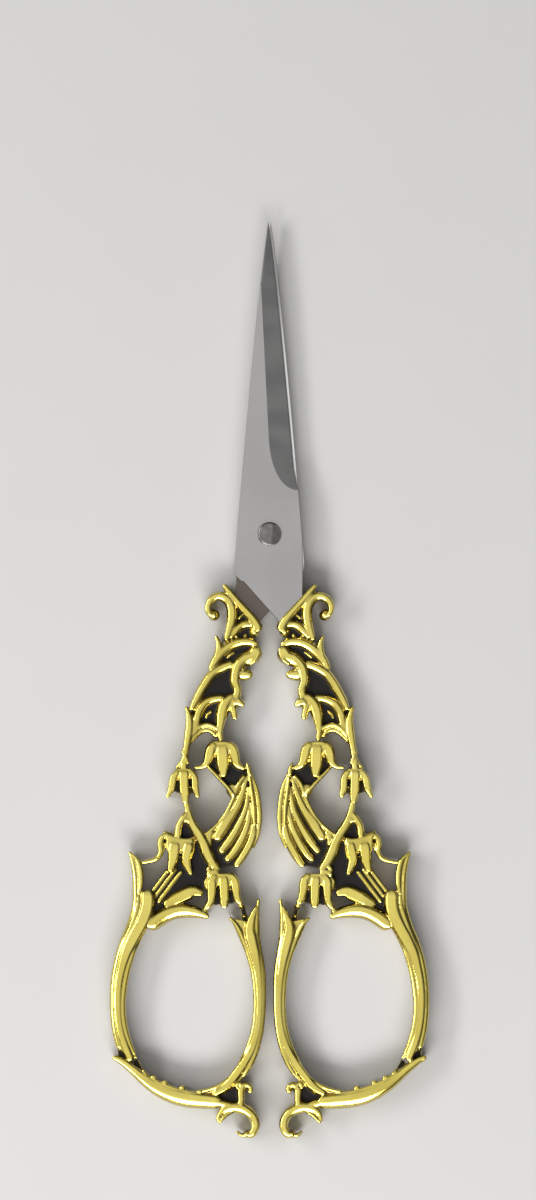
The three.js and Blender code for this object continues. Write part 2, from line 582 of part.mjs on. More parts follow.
function named(name, geometry, material) {
  const mesh = new THREE.Mesh(geometry, material);
  mesh.name = name;
  return mesh;
}

function half(bladeName, handleName) {
  const group = new THREE.Group();
  const bladeMesh = named(bladeName, geometryOf(blade()), steel());
  bladeMesh.position.z = BLADE_GAP / 2;
  group.add(bladeMesh, named(handleName, geometryOf(handle()), gold()));
  return group;
}

const scissors = new THREE.Group();
scissors.position.z = HANDLE_THICKNESS / 2;
const frontHalf = half("front_blade", "right_handle");
const rearHalf = half("rear_blade", "left_handle");
rearHalf.rotation.y = Math.PI;
scissors.add(frontHalf, rearHalf, named("pivot_rivet", geometryOf(rivet()), rivetSteel()));

export default scissors;
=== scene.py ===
# %% [markdown]
# # Embroidery scissors with openwork handles
# Two slim steel blades turn on one rivet. Each blade is held by a handle that is cast in one piece: bell
# flowers, leaf scrolls and a fluted leaf above a finger loop. The castings are gold plated and their recesses
# are blackened, so that the relief stands out.
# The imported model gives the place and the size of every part. This lesson replaces its five plain solids with
# finer ones in the same places. All lengths in the lists below are millimetres, as a maker would write them.

import math

import bmesh
import bpy
import numpy as np
from mathutils.bvhtree import BVHTree
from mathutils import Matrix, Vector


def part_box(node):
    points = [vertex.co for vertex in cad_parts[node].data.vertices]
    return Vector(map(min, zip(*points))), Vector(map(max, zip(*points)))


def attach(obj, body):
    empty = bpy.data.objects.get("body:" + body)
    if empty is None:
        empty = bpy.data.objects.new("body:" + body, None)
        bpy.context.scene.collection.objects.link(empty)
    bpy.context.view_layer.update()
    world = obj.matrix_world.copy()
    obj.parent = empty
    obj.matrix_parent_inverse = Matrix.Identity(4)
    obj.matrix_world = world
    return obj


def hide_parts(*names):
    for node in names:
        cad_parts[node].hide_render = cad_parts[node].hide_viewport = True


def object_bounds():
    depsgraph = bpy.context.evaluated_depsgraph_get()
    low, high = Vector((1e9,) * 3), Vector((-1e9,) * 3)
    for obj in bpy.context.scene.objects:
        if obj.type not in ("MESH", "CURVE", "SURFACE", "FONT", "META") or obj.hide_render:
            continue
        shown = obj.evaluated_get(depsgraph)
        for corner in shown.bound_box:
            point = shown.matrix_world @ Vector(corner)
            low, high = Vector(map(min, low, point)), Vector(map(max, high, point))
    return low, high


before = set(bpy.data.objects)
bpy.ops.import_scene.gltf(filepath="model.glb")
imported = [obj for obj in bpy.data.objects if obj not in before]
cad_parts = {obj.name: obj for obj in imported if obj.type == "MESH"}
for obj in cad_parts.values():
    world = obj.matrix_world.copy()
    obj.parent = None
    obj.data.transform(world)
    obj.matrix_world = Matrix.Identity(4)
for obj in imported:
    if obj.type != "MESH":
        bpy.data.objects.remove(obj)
cad_low, cad_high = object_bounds()
MM = 0.001

casting_low, casting_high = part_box("right_handle")
middle_plane = (casting_low.z + casting_high.z) / 2
blade_low, blade_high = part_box("front_blade")
print("scissors, mm:", [round(side / MM, 2) for side in cad_high - cad_low])
print("middle plane at", round(middle_plane / MM, 3), "mm, blades reach y", round(blade_high.y / MM, 2))

# %% [markdown]
# ## Nodes written as sums
# Finishes and Geometry Nodes are both trees of nodes. Wiring each one by hand takes many lines, so two
# small classes help: a sheet lays out a node with its settings and its sockets, and a wire is one output
# that Python can add, multiply or take from 1. Each sign in such a sum lays out one Math node.


# %% Wires and sheets
class Wire:
    """One output of a node, for use in sums and as the source of other nodes' sockets."""

    def __init__(self, sheet, socket):
        self.sheet = sheet
        self.socket = socket

    def output(self, key):
        return Wire(self.sheet, self.socket.node.outputs[key])

    def maths(self, operation, first, second):
        return self.sheet.add("ShaderNodeMath", {"operation": operation}, {0: first, 1: second})

    def __add__(self, other):
        return self.maths("ADD", self, other)

    def __radd__(self, other):
        return self.maths("ADD", other, self)

    def __sub__(self, other):
        return self.maths("SUBTRACT", self, other)

    def __rsub__(self, other):
        return self.maths("SUBTRACT", other, self)

    def __mul__(self, other):
        return self.maths("MULTIPLY", self, other)

    def __rmul__(self, other):
        return self.maths("MULTIPLY", other, self)

    def __truediv__(self, other):
        return self.maths("DIVIDE", self, other)

    def __rtruediv__(self, other):
        return self.maths("DIVIDE", other, self)


class Sheet:
    """A node tree of a finish or of Geometry Nodes, on which nodes are laid out."""

    def __init__(self, tree):
        self.tree = tree

    def add(self, kind, settings=None, sockets=None, output=0):
        node = self.tree.nodes.new(kind)
        for name, value in (settings or {}).items():
            setattr(node, name, value)
        for key, value in (sockets or {}).items():
            if isinstance(value, Wire):
                self.tree.links.new(value.socket, node.inputs[key])
            else:
                node.inputs[key].default_value = value
        return Wire(self, node.outputs[output]) if node.outputs else node


print("wires and sheets are ready")

# %% [markdown]
# ## The lines of the casting
# The wax model of such a handle is drawn in lines: stems, leaf bands, petals and ribs. All of them lie about
# one middle plane, because both faces carry the same relief. So each line is a row of points with a width
# along it. The points in the lists are few. A smooth curve runs through them, and each end is rounded off
# within its own half width.
# A line also has a flat share, the part of its half width that is level on top before a bevel starts. Stems
# and bars are level over about half of it, plates over nearly all of it, and roofs slope from the middle.

# %% Smooth lines with a width
LINE_SPACING = 0.22
FEWEST_POINTS = 4
CURVE_STEPS = 16
TIP_RISE = 0.8
ROUND_END_STEPS = np.array([0.02, 0.12, 0.3, 0.6])
LEAST_END_RADIUS = 0.05
LEAST_END_SHARE = 0.02
STEM_FLAT = 0.45
BAR_FLAT = 0.5
BROAD_FLAT = 0.75
PLATE_FLAT = 6
ROOF_FLAT = 0
lines = []


def smooth_curve(path):
    """A close row of points on a Catmull-Rom curve through the given ones."""
    knots = np.array(path, float)
    rows = np.vstack([2 * knots[0] - knots[1], knots, 2 * knots[-1] - knots[-2]])
    share = np.linspace(0, 1, CURVE_STEPS, endpoint=False)[:, None]
    spans = []
    for before, start, end, after in zip(rows, rows[1:], rows[2:], rows[3:]):
        bend = (2 * before - 5 * start + 4 * end - after) * share**2
        twist = (3 * start - before - 3 * end + after) * share**3
        spans.append(start + ((end - before) * share + bend + twist) / 2)
    return np.vstack([*spans, knots[-1:]])


def draw(path, width, taper, rise, flat=STEM_FLAT):
    """One line of the casting. The taper is an evenly spaced list of shares of the width."""
    curve = smooth_curve(path)
    run = np.append(0, np.cumsum(np.linalg.norm(np.diff(curve, axis=0), axis=1)))
    length = run[-1]
    radii = [max(width * share / 2, LEAST_END_RADIUS) for share in (taper[0], taper[-1])]
    even = np.linspace(0, length, max(FEWEST_POINTS, round(length / LINE_SPACING)))
    far = np.concatenate([even, ROUND_END_STEPS * radii[0], length - ROUND_END_STEPS * radii[1]])
    far = np.unique(np.clip(far, 0, length))
    share = np.interp(far / length, np.linspace(0, 1, len(taper)), taper)
    for depth, radius in zip((far, length - far), radii):
        inside = np.clip(depth / radius, 0, 1)
        share = share * np.sqrt(np.maximum(1 - (1 - inside) ** 2, LEAST_END_SHARE))
    half_width = width * share / 2
    half_height = rise * (TIP_RISE + (1 - TIP_RISE) * np.minimum(share, 1))
    places = np.column_stack([np.interp(far, run, curve[:, 0]), np.interp(far, run, curve[:, 1])])
    lines.append((places, half_width, half_height, np.full(len(far), flat)))


print("each line has a point about every", LINE_SPACING, "mm")

# %% [markdown]
# ## Heights of the relief
# A casting reads well when its parts lie at a few clear heights. The finger loops and petals stand highest,
# then the stems, then the leaves. The webs between them lie deep and are blackened later. Each height here is
# the distance from the middle plane to the top. Where two lines run side by side, one of them lies a small
# step lower, so that both still show.

# %% Heights and small helpers
LOOP_RISE = 2.08
SLOPE_RISE = 1.85
ARM_RISE = 1.5
PETAL_RISE = 1.98
STEM_RISE = 1.88
LEAF_RISE = 1.7
WEB_RISE = 0.95
FLECK_RISE = 1.3
HEIGHT_STEP = 0.1
webs = []
balls = []


def web(outline, rise=WEB_RISE):
    webs.append((outline, rise))


def ball(place, width, length, rise):
    """A small boss with the given width along X, length along Y and height."""
    balls.append((place, (width / 2, length / 2, rise)))


print("highest top", LOOP_RISE, "mm from the middle plane, webs", WEB_RISE, "mm")

# %% [markdown]
# ## Upper shank
# The handle starts with a slanted rail under the blade's foot. A crook curls away from it, and three leaf
# bands hang below, one behind the other, beside a stem with a bud and a knot of small leaves. The cells
# between the bands are closed by thin webs.

# %% Upper shank
RAIL = [(7.4, -8), (6.3, -9.4), (5.2, -10.7), (3.9, -12.1), (2.8, -13.4), (2.05, -14.6), (1.8, -15.6)]
CROOK = [(7, -17), (6.4, -15.2), (6, -13.5), (6.05, -11.8), (6.7, -10.5), (7.9, -9.9), (9.1, -10.3),
         (9.8, -11.4), (9.7, -12.5), (9.1, -13.1)]
draw(RAIL, 1.3, [0.5, 0.9, 1, 1, 1.1, 1.3, 1.5], STEM_RISE)
draw(CROOK, 1.7, [0.45, 0.75, 0.95, 1, 1, 0.95, 0.85, 0.75, 0.6, 0.5], STEM_RISE)
ball((8.85, -12.9), 2, 2, LEAF_RISE)
ball((2.4, -15.5), 2, 2, STEM_RISE)
draw([(2.4, -14.5), (3.8, -14.4), (4.9, -14.9), (6.4, -16.6)], 1.35, [0.7, 1, 1, 0.5], LEAF_RISE)
draw([(4.3, -12.9), (4.7, -13.2), (4.9, -13.6)], 0.4, [0.6, 1, 0.6], FLECK_RISE)
draw([(3.7, -15.9), (4.1, -16.6), (4.9, -16.7), (5.4, -16.1)], 0.45, [0.7, 1, 1, 0.7], FLECK_RISE)

TOP_BAND = [(1.8, -17.7), (3.2, -17.2), (5, -17.3), (6.5, -18), (7.7, -19), (8.7, -20.3), (9.5, -21.7)]
MIDDLE_BAND = [(5.6, -20.6), (7.3, -21.2), (8.9, -22.1), (9.9, -23.3), (10.9, -24.9), (11.8, -26.6),
               (12.5, -28)]
LOW_BAND = [(7.2, -26), (9.2, -26.4), (10.4, -27.1), (11.3, -28.5), (11.7, -30.2), (12.3, -32)]
draw(TOP_BAND, 1.6, [0.8, 0.9, 1, 1.05, 1.1, 1, 0.5], LEAF_RISE)
draw([(8.6, -16.1), (8.1, -17.5), (8.2, -19), (8.8, -20.4)], 1.3, [0.35, 0.8, 1, 0.8], LEAF_RISE)
draw(MIDDLE_BAND, 1.55, [0.8, 1, 1, 1.05, 0.95, 0.9, 0.5], LEAF_RISE)
draw(LOW_BAND, 1.5, [0.6, 0.9, 1, 1, 0.9, 0.7], LEAF_RISE)

UPPER_STEM = [(1.95, -17.9), (2.6, -19.4), (4.1, -20.1), (5, -21), (5.4, -22.2), (5.5, -23.5),
              (5.1, -24.8), (5.4, -26.2)]
LOWER_STEM = [(5.4, -25.8), (6.3, -26.3), (7.1, -27.2), (7.6, -28.7), (7.8, -30.2), (7.9, -31.5),
              (7.7, -32.9)]
draw(UPPER_STEM, 1.75, [1.1, 1.5, 1.45, 1.1, 1, 0.9, 0.8, 0.9], STEM_RISE)
draw([(1.65, -17.9), (1.7, -18.9), (2.2, -20), (3.2, -20.8)], 0.6, [0.7, 1, 1, 0.6], STEM_RISE)
ball((4, -19.3), 1.5, 1, STEM_RISE)
draw(LOWER_STEM, 2.1, [0.7, 0.95, 1, 0.95, 0.7, 0.45, 0.45], STEM_RISE)
draw([(5.3, -22.3), (4.3, -22.4), (3.4, -22.4), (2.6, -22.2)], 2, [0.7, 1, 0.9, 0.45], LEAF_RISE)
ball((4.2, -21.5), 1, 0.8, LEAF_RISE)
draw([(5.6, -26.1), (4.8, -26.8), (4, -27.4)], 1.45, [0.9, 1, 0.6], STEM_RISE)
draw([(6.1, -26.7), (5.7, -28.2), (5.4, -29.6)], 1.2, [1, 1, 0.75], LEAF_RISE)
ball((5.5, -26.7), 2.3, 2.2, STEM_RISE)
ball((6.9, -26.6), 1.5, 1.3, LEAF_RISE)

OUTER_RAIL = [(13.3, -27.4), (12.8, -29.2), (12.8, -31), (13.1, -33), (13.4, -34.8), (13.7, -37.8)]
draw(OUTER_RAIL, 1.5, [0.35, 0.8, 1, 0.75, 0.7, 0.9], STEM_RISE)
draw([(13.2, -34.6), (13.9, -36.2), (14.9, -37.3)], 0.85, [0.7, 1, 0.5], LEAF_RISE)
draw([(14, -34.4), (13.4, -35.4), (12.9, -36.6)], 0.65, [0.5, 1, 0.6], STEM_RISE)
ARCH = [(7.9, -31.3), (9.1, -30.6), (10.2, -30.4), (11.4, -31), (12.8, -32.5)]
LOW_ARCH = [(8.4, -32.3), (9.3, -31.4), (10.3, -31.2), (11.5, -31.9), (12.9, -33.4)]
draw(ARCH, 0.85, [0.9, 1, 1, 1, 0.8], LEAF_RISE)
draw(LOW_ARCH, 0.8, [0.7, 1, 1, 1, 0.7], LEAF_RISE - 2 * HEIGHT_STEP)

web([(2.6, -13.8), (5.5, -10.6), (6.1, -12.5), (6.7, -16.6), (8.2, -18.4), (9.2, -21.4), (10.4, -24),
     (12.2, -27.7), (12.6, -31.8), (10.2, -30.8), (8, -31.4), (7.4, -28.6), (6.3, -26.6), (5.1, -25.5),
     (5.3, -22.4), (4.1, -20.3), (2.4, -19), (2.2, -17.6), (2.6, -16.2)])
draw([(5.5, -18.8), (6.2, -19.2), (6.8, -19.8)], 0.35, [0.6, 1, 0.6], FLECK_RISE)
draw([(9.2, -28.1), (9.9, -28.7), (10.1, -29.4)], 0.35, [0.6, 1, 0.6], FLECK_RISE)
print(len(lines), "lines in the upper shank")

# %% [markdown]
# ## Bell flowers
# Four bells hang in each handle. A bell is a cup that splits into broad, nearly flat petals with dark slots
# between them. The petals of one bell aren't alike: some end in a curl, some are blunt. So each petal is a
# line of its own. A raised plate with pointed notches closes the cup between the petals, and a low web
# closes the slots below it.

# %% Bells
CUP_RISE = 1.8
PETAL_FLAT = 0.7


def bell(cup, slots, petals):
    web(cup, CUP_RISE)
    web(slots)
    for path, width, taper in petals:
        draw(path, width, taper, PETAL_RISE, PETAL_FLAT)


bell([(6.6, -33), (8.6, -33), (10, -34.4), (10.1, -35.6), (9, -35.6), (8.5, -34.5), (8.1, -35.6),
      (6.9, -35.6), (6.4, -34.5), (6, -35.6), (5, -35.6), (5.3, -34.2)],
     [(5.2, -35.2), (10, -35.2), (9.6, -37), (7.3, -37.9), (4.9, -37)], [
    ([(7, -33.3), (5.95, -34.2), (5.5, -35.6), (5.1, -36.7), (3.9, -37.4)], 1.85, [0.8, 1, 0.9, 0.7, 0.35]),
    ([(7.6, -33.2), (7.5, -34.8), (7.4, -36.8), (7.3, -38.7)], 2.35, [0.8, 1, 0.95, 0.4]),
    ([(8.3, -33.3), (9.3, -34.3), (9.7, -35.7), (10.1, -36.6), (10.9, -37.1), (12, -37.2)],
     1.85, [0.8, 1, 0.95, 0.7, 0.45, 0.3]),
])
bell([(12.4, -37.3), (14.9, -37.3), (15.6, -38.9), (14.9, -38.9), (14.5, -38), (14.2, -38.9), (13, -38.9),
      (12.65, -38.1), (12.3, -38.9), (11.6, -38.9)],
     [(11.6, -38.5), (15.5, -38.5), (15.6, -40.8), (13.4, -41.8), (11.7, -41)], [
    ([(12.8, -37.6), (11.95, -38.8), (11.8, -40.4), (11.35, -42)], 1.25, [0.8, 1, 0.95, 0.65]),
    ([(13.6, -37.4), (13.6, -39.4), (13.5, -41.2), (13.3, -42.9)], 1.8, [1, 1, 0.95, 0.55]),
    ([(14.3, -37.6), (15.25, -38.8), (15.6, -40.4), (16.35, -42)], 1.35, [0.8, 1, 0.9, 0.4]),
])
bell([(12.2, -48.7), (14.5, -48.4), (16.4, -47.8), (16.4, -50), (15.9, -51), (14.6, -51), (14.1, -50.2),
      (13.7, -51), (12.8, -51)],
     [(12.6, -50.5), (16, -50.5), (15.8, -53.6), (12.8, -53.6)], [
    ([(12.7, -48.9), (13, -50.3), (13.25, -52), (12.45, -54.2)], 1.8, [0.9, 1, 0.8, 0.35]),
    ([(15, -48.8), (15.2, -50.4), (15.4, -52), (15.9, -53.8)], 2.1, [0.9, 1, 0.8, 0.4]),
])
bell([(6.2, -54), (9, -54), (9.8, -55.2), (9.8, -56.6), (8.6, -56.6), (8.15, -55.6), (7.7, -56.6),
      (6.7, -56.6), (6.3, -55.6), (5.9, -56.6), (4.9, -56.6), (5, -55)],
     [(4.9, -56), (9.7, -56), (9.8, -59.2), (4.8, -58.7)], [
    ([(6.7, -54.2), (5.6, -55.2), (5.3, -57), (5, -58.2), (4.4, -58.9)], 1.65, [0.8, 1, 0.9, 0.8, 0.55]),
    ([(7.4, -54.2), (7.25, -56), (7.2, -58), (7.2, -59.6)], 1.85, [0.9, 1, 0.9, 0.6]),
    ([(8.2, -54.2), (9.1, -55.2), (9.2, -57), (9.4, -58.6), (10.1, -59.6)], 1.6, [0.8, 1, 0.95, 0.8, 0.55]),
])
draw([(9.4, -54.3), (10.1, -55.2), (10, -56.6)], 0.75, [0.7, 1, 0.6], LEAF_RISE)
draw([(8, -53.9), (9, -53.8), (10, -54.4)], 1.3, [1, 1, 0.8], STEM_RISE)
draw([(9.2, -52.8), (9.7, -53.2), (9.8, -53.8)], 0.8, [0.6, 1, 0.7], STEM_RISE)
print(len(webs), "webs and plates so far")

# %% [markdown]
# ## Fluted leaf
# On the inner side of each handle a broad leaf fans out from one point. Its flutes are nearly flat ridges
# that narrow towards that point, with blackened grooves between them over a low bed. A thin rim follows the
# leaf on the side of the open hole, and a small cusp ties it to the first bell.

# %% Fluted leaf
BED_DEPTH = 0.65
FLUTES = [
    ([(3.5, -38.5), (4.4, -41.4), (5.4, -43.7), (6.9, -46), (8.6, -48.7)], 2, [0.25, 0.5, 0.72, 1, 0.8]),
    ([(3.3, -40.2), (3.75, -43.5), (4.8, -46.1), (6.3, -48.7), (7.9, -50.7)],
     1.5, [0.25, 0.55, 0.75, 0.95, 0.75]),
    ([(2.95, -42.6), (3.4, -45.8), (4.3, -48.3), (5.7, -50.7), (7, -52)], 1.45, [0.25, 0.6, 0.85, 0.92, 0.7]),
    ([(2.4, -45.6), (2.75, -48.2), (3.7, -50.4), (4.9, -52.3), (5.5, -53)], 1.4, [0.4, 0.85, 1, 0.95, 0.7]),
]
for path, width, taper in FLUTES:
    draw(path, width, taper, LEAF_RISE, PETAL_FLAT)
INNER_RIM = [(3.1, -38), (2.1, -40.7), (1.7, -43.3), (1.6, -45.4), (1.9, -48), (2.6, -50)]
draw(INNER_RIM, 0.9, [0.7, 1, 1, 1, 0.8, 0.4], LEAF_RISE - 1.5 * HEIGHT_STEP)
INNER_VEIN = [(3.15, -38.6), (2.8, -41.2), (2.5, -43.6), (2.4, -46.2)]
draw(INNER_VEIN, 0.6, [0.6, 1, 1, 0.8], LEAF_RISE + HEIGHT_STEP)
ball((2.35, -46.1), 1, 0.9, LEAF_RISE + HEIGHT_STEP)
draw([(3.7, -36.3), (3.3, -37.4), (3.2, -38.5)], 0.9, [0.4, 0.9, 1], LEAF_RISE)
HOLE_RIM = [(5.4, -41.3), (6.8, -44.2), (8.2, -46.1), (10.2, -47.8), (11.4, -48.3)]
draw(HOLE_RIM, 0.65, [0.8, 1, 1, 1, 0.9], LEAF_RISE - HEIGHT_STEP)
draw([(9, -47.2), (9.6, -48.3), (9.4, -49.7)], 1.2, [0.8, 1, 0.4], LEAF_RISE - HEIGHT_STEP)
draw([(9.7, -37.1), (8, -38.9), (6.8, -40.2), (5.6, -41.7)], 0.7, [0.8, 0.9, 1, 1], LEAF_RISE)
draw([(6.2, -39.8), (5.9, -40.9), (5.6, -42.2)], 2.6, [0.9, 0.8, 0.3], LEAF_RISE - HEIGHT_STEP, BROAD_FLAT)
draw([(3.9, -38.4), (4.9, -39.8), (5.5, -41.3)], 0.9, [0.8, 1, 0.7], LEAF_RISE)
web([(3.3, -38.2), (2, -42), (1.8, -46), (2.6, -49.6), (4.6, -52.6), (7.6, -53.2), (9.2, -52), (10.8, -48.3),
     (8.2, -46.4), (6.5, -44.2), (5.4, -41.6), (7.6, -39), (9, -37.4), (4.2, -37.4)])
web([(3.3, -38.6), (2, -42), (1.8, -46), (2.4, -48), (4.4, -48.8), (6.2, -47.6), (8.8, -46.9), (6.5, -44.2),
     (5.4, -41.6), (4.2, -39.2)], LEAF_RISE - BED_DEPTH)
print(len(FLUTES), "flutes in the leaf")

# %% [markdown]
# ## Lower shank
# Under the outer bell a stem forks round a small dark cell. One branch runs inwards to the lowest bell, the
# other carries the third bell, whose outer curl reaches over to the finger loop. Three straight ribs and a
# smooth leaf fill the corner between the third bell and the loop.

# %% Lower shank
MAIN_STEM = [(13.4, -42), (12.95, -44.2), (12.3, -46.1), (11.3, -47.7), (10.5, -49.2), (9.95, -50.7),
             (9.2, -52.2), (8.1, -53.7)]
BRANCH = [(12.9, -44.3), (13.7, -45.2), (14.35, -46.3), (14.55, -47.4), (14.5, -48.4)]
BELL_CURL = [(15.2, -48.4), (16.3, -47.9), (17.1, -48.4), (17.4, -49.4), (17.3, -50.6), (17.9, -51.6),
             (19.2, -52.1), (20.7, -52.3)]
SMOOTH_LEAF = [(10.6, -57.3), (12.1, -56.9), (14.3, -57.8), (16.8, -59.1)]
draw(MAIN_STEM, 1.8, [0.5, 0.6, 0.8, 0.95, 1, 1.08, 1, 0.7], STEM_RISE, BAR_FLAT)
draw(BRANCH, 1.2, [0.8, 1, 1, 1, 1], STEM_RISE)
ball((13.1, -45.5), 2.2, 1.9, STEM_RISE)
draw([(12, -48.5), (13.3, -48.7), (14.8, -48.5)], 0.7, [1, 1, 1], LEAF_RISE)
draw([(14.8, -48.6), (15.8, -48), (16.9, -47.3)], 1.2, [1, 0.9, 0.35], LEAF_RISE)
draw(BELL_CURL, 1, [0.7, 1, 1.1, 1, 0.9, 0.85, 0.75, 0.5], LEAF_RISE)
draw([(16.5, -49), (16.8, -50.2), (17.2, -51.2)], 0.45, [0.6, 1, 0.6], LEAF_RISE - 2 * HEIGHT_STEP)
draw([(12, -48.6), (12.2, -50.2), (12.5, -51.8)], 0.5, [0.7, 1, 0.6], LEAF_RISE)
web([(12.2, -48.4), (12.5, -46.6), (13.3, -46), (14.2, -46.6), (14.4, -48.4)])
RIB_RISE = 1.25
RIB_WIDTH = 0.75
RIBS = [((15.7, -53), (18.7, -57)), ((14.8, -53.2), (18.3, -57.9)), ((13.9, -53.6), (17.8, -58.7))]
for rib in RIBS:
    draw(rib, RIB_WIDTH, [0.9, 1, 0.9], RIB_RISE)
draw(SMOOTH_LEAF, 2.2, [0.45, 1, 0.95, 0.5], LEAF_RISE, PLATE_FLAT)
web([(11.3, -48.4), (12.8, -48.6), (13.6, -53.4), (16, -53.7), (18.6, -57), (18.6, -59.6), (15, -58),
     (13, -57.2), (10.8, -57), (9.8, -55.4), (8.8, -53.2), (10.2, -50.6)])
print(len(lines), "lines down to the finger loop")

# %% [markdown]
# ## Finger loop
# The loop is made of long leaves that lie along one rounded line. A crescent forms the top. On the outer and
# the inner side a level leaf lies between two strips that slope away from it, and a broad bar with a rim and
# a few beads forms the base. Where leaves meet, thin darker lines run along the loop.

# %% Top and outer side of the finger loop
TOP_BAR = [(9.6, -61), (11, -60.4), (13, -60), (15, -60.1), (17, -60.9), (19.4, -62.6)]
HORN = [(22, -50.8), (21, -52), (20.55, -53.8), (20.5, -55.8), (20.8, -57.4)]
OUTER_LEAF = [(22.3, -50.5), (21.8, -52), (21.4, -54), (21.3, -56.6), (21.4, -59.3), (22.25, -62.3),
              (23.35, -65), (24.25, -68), (24.8, -71.5), (24.9, -75), (24.65, -78.5), (23.95, -81.8)]
MAIN_LEAF = [(19.5, -56.6), (19.4, -58.6), (19.8, -60.5), (20.6, -62.3), (21.75, -64.4), (22.8, -66.6),
             (23.5, -69), (24, -71.6), (24.15, -74.8), (23.9, -78), (23.2, -80.8), (22, -83.8)]
LEAF_RIDGE = [(20.8, -57.4), (21, -59.4), (21.75, -61.8), (22.8, -64.4), (23.8, -67.2)]
INNER_STRIP = [(20.85, -64.4), (21.65, -66.4), (22.55, -69.2), (23.1, -72), (23.35, -75), (23.1, -78),
               (22.35, -80.8), (21.45, -82.8)]
draw(TOP_BAR, 2.5, [0.35, 0.75, 0.95, 1, 1.05, 1], LOOP_RISE - HEIGHT_STEP, BAR_FLAT)
draw([(10.1, -59.4), (10.4, -60.2), (10.9, -60.6)], 1, [1, 0.9, 0.9], LEAF_RISE)
draw(HORN, 1, [0.4, 0.9, 1, 0.9, 0.5], STEM_RISE)
draw(OUTER_LEAF, 1.7, [0.3, 0.6, 0.65, 0.65, 0.65, 0.66, 0.66, 0.66, 0.65, 0.65, 0.62, 0.5],
     SLOPE_RISE, ROOF_FLAT)
draw(MAIN_LEAF, 2.3, [0.95, 1, 1, 0.95, 0.8, 0.64, 0.58, 0.56, 0.52, 0.52, 0.55, 0.5],
     LOOP_RISE, PLATE_FLAT)
draw(INNER_STRIP, 1.05, [0.5, 0.9, 1, 1, 1, 1, 0.9, 0.6], SLOPE_RISE, ROOF_FLAT)
draw(LEAF_RIDGE, 0.8, [0.6, 1, 1, 0.9, 0.5], STEM_RISE)
web([(18.4, -57.5), (18.5, -60), (19.3, -62.6), (20.4, -64.6), (21.2, -66.4), (22.2, -69.4), (22.8, -72.2),
     (23, -75), (22.7, -78), (21.9, -81), (21, -83.4), (22.6, -83.4), (24, -81.8), (24.8, -78.5),
     (25.05, -75), (24.9, -71.5), (24.4, -68), (23.4, -65), (22.2, -62), (21.4, -59.3), (21.2, -56.5),
     (21.3, -54), (20.6, -54), (20.4, -56.6)], ARM_RISE)
print(len(lines), "lines with the outer side of the finger loop")

# %% Inner side and base of the finger loop
OUTER_RIDGE = [(1.7, -58), (1.95, -60), (2.05, -62), (2, -64.3), (1.65, -66.4), (1.3, -68.6), (1.1, -71),
               (1.05, -75), (1.25, -78), (1.65, -80.3), (2.25, -82.5), (3.05, -84.4), (4.05, -86.2)]
MIDDLE_RIDGE = [(2.1, -59.2), (2.75, -61), (3.15, -62.6), (2.95, -64.2), (2.3, -67), (1.8, -70), (1.58, -73),
                (1.6, -76), (1.95, -79), (2.8, -81.8), (4, -84), (5.4, -86), (7, -87.9), (8.9, -89.1)]
INNER_RIDGE = [(6.4, -61), (5.28, -62.2), (4.38, -64), (3.28, -67), (2.53, -70), (2.23, -73), (2.23, -76),
               (2.58, -79), (3.48, -81.8), (4.58, -84), (5.68, -85.8)]
INNER_TAIL = [(6, -86), (6.9, -86.9), (8, -87.7), (9.4, -88.3), (11, -88.7), (12.5, -88.9)]
draw(OUTER_RIDGE, 1.05, [0.45, 0.7, 0.75, 1, 1, 1, 0.95, 0.9, 0.9, 0.95, 1, 1, 0.6], SLOPE_RISE, ROOF_FLAT)
draw(MIDDLE_RIDGE, 1.9, [0.2, 0.7, 1, 0.9, 0.68, 0.55, 0.48, 0.48, 0.52, 0.62, 0.7, 0.76, 0.7, 0.45],
     LOOP_RISE, PLATE_FLAT)
draw(INNER_RIDGE, 1, [0.5, 0.8, 0.9, 0.95, 0.85, 0.8, 0.8, 0.85, 0.9, 0.8, 0.5], SLOPE_RISE, ROOF_FLAT)
draw(INNER_TAIL, 0.65, [0.5, 0.8, 1, 1, 1, 0.6], STEM_RISE)
draw([(10.6, -88.6), (11.6, -88.85)], 0.75, [0.8, 1, 0.8], LOOP_RISE - HEIGHT_STEP, BAR_FLAT)
web([(1.6, -58.6), (2.8, -60.3), (3.7, -61.6), (5, -61.3), (6.3, -61.1), (5.6, -62.6), (4.9, -64.2),
     (3.9, -66.6), (3.1, -69.3), (2.7, -72), (2.6, -75), (2.8, -78), (3.5, -81), (4.6, -83.6), (5.8, -85.7),
     (7.2, -87.4), (9, -88.6), (11, -88.9), (9, -89.5), (7, -89), (5.4, -87.7), (3.9, -86.2), (2.7, -84.2),
     (1.75, -81.6), (1.05, -78.4), (0.8, -75), (0.8, -71), (1.05, -67.5), (1.5, -64), (1.6, -61)], ARM_RISE)
draw([(4.5, -58.6), (4.2, -60), (3.9, -61.6)], 1, [0.9, 0.9, 1], WEB_RISE)
ball((4.5, -59.2), 1.3, 1, LEAF_RISE)
ball((4.1, -60.8), 0.9, 0.6, FLECK_RISE)

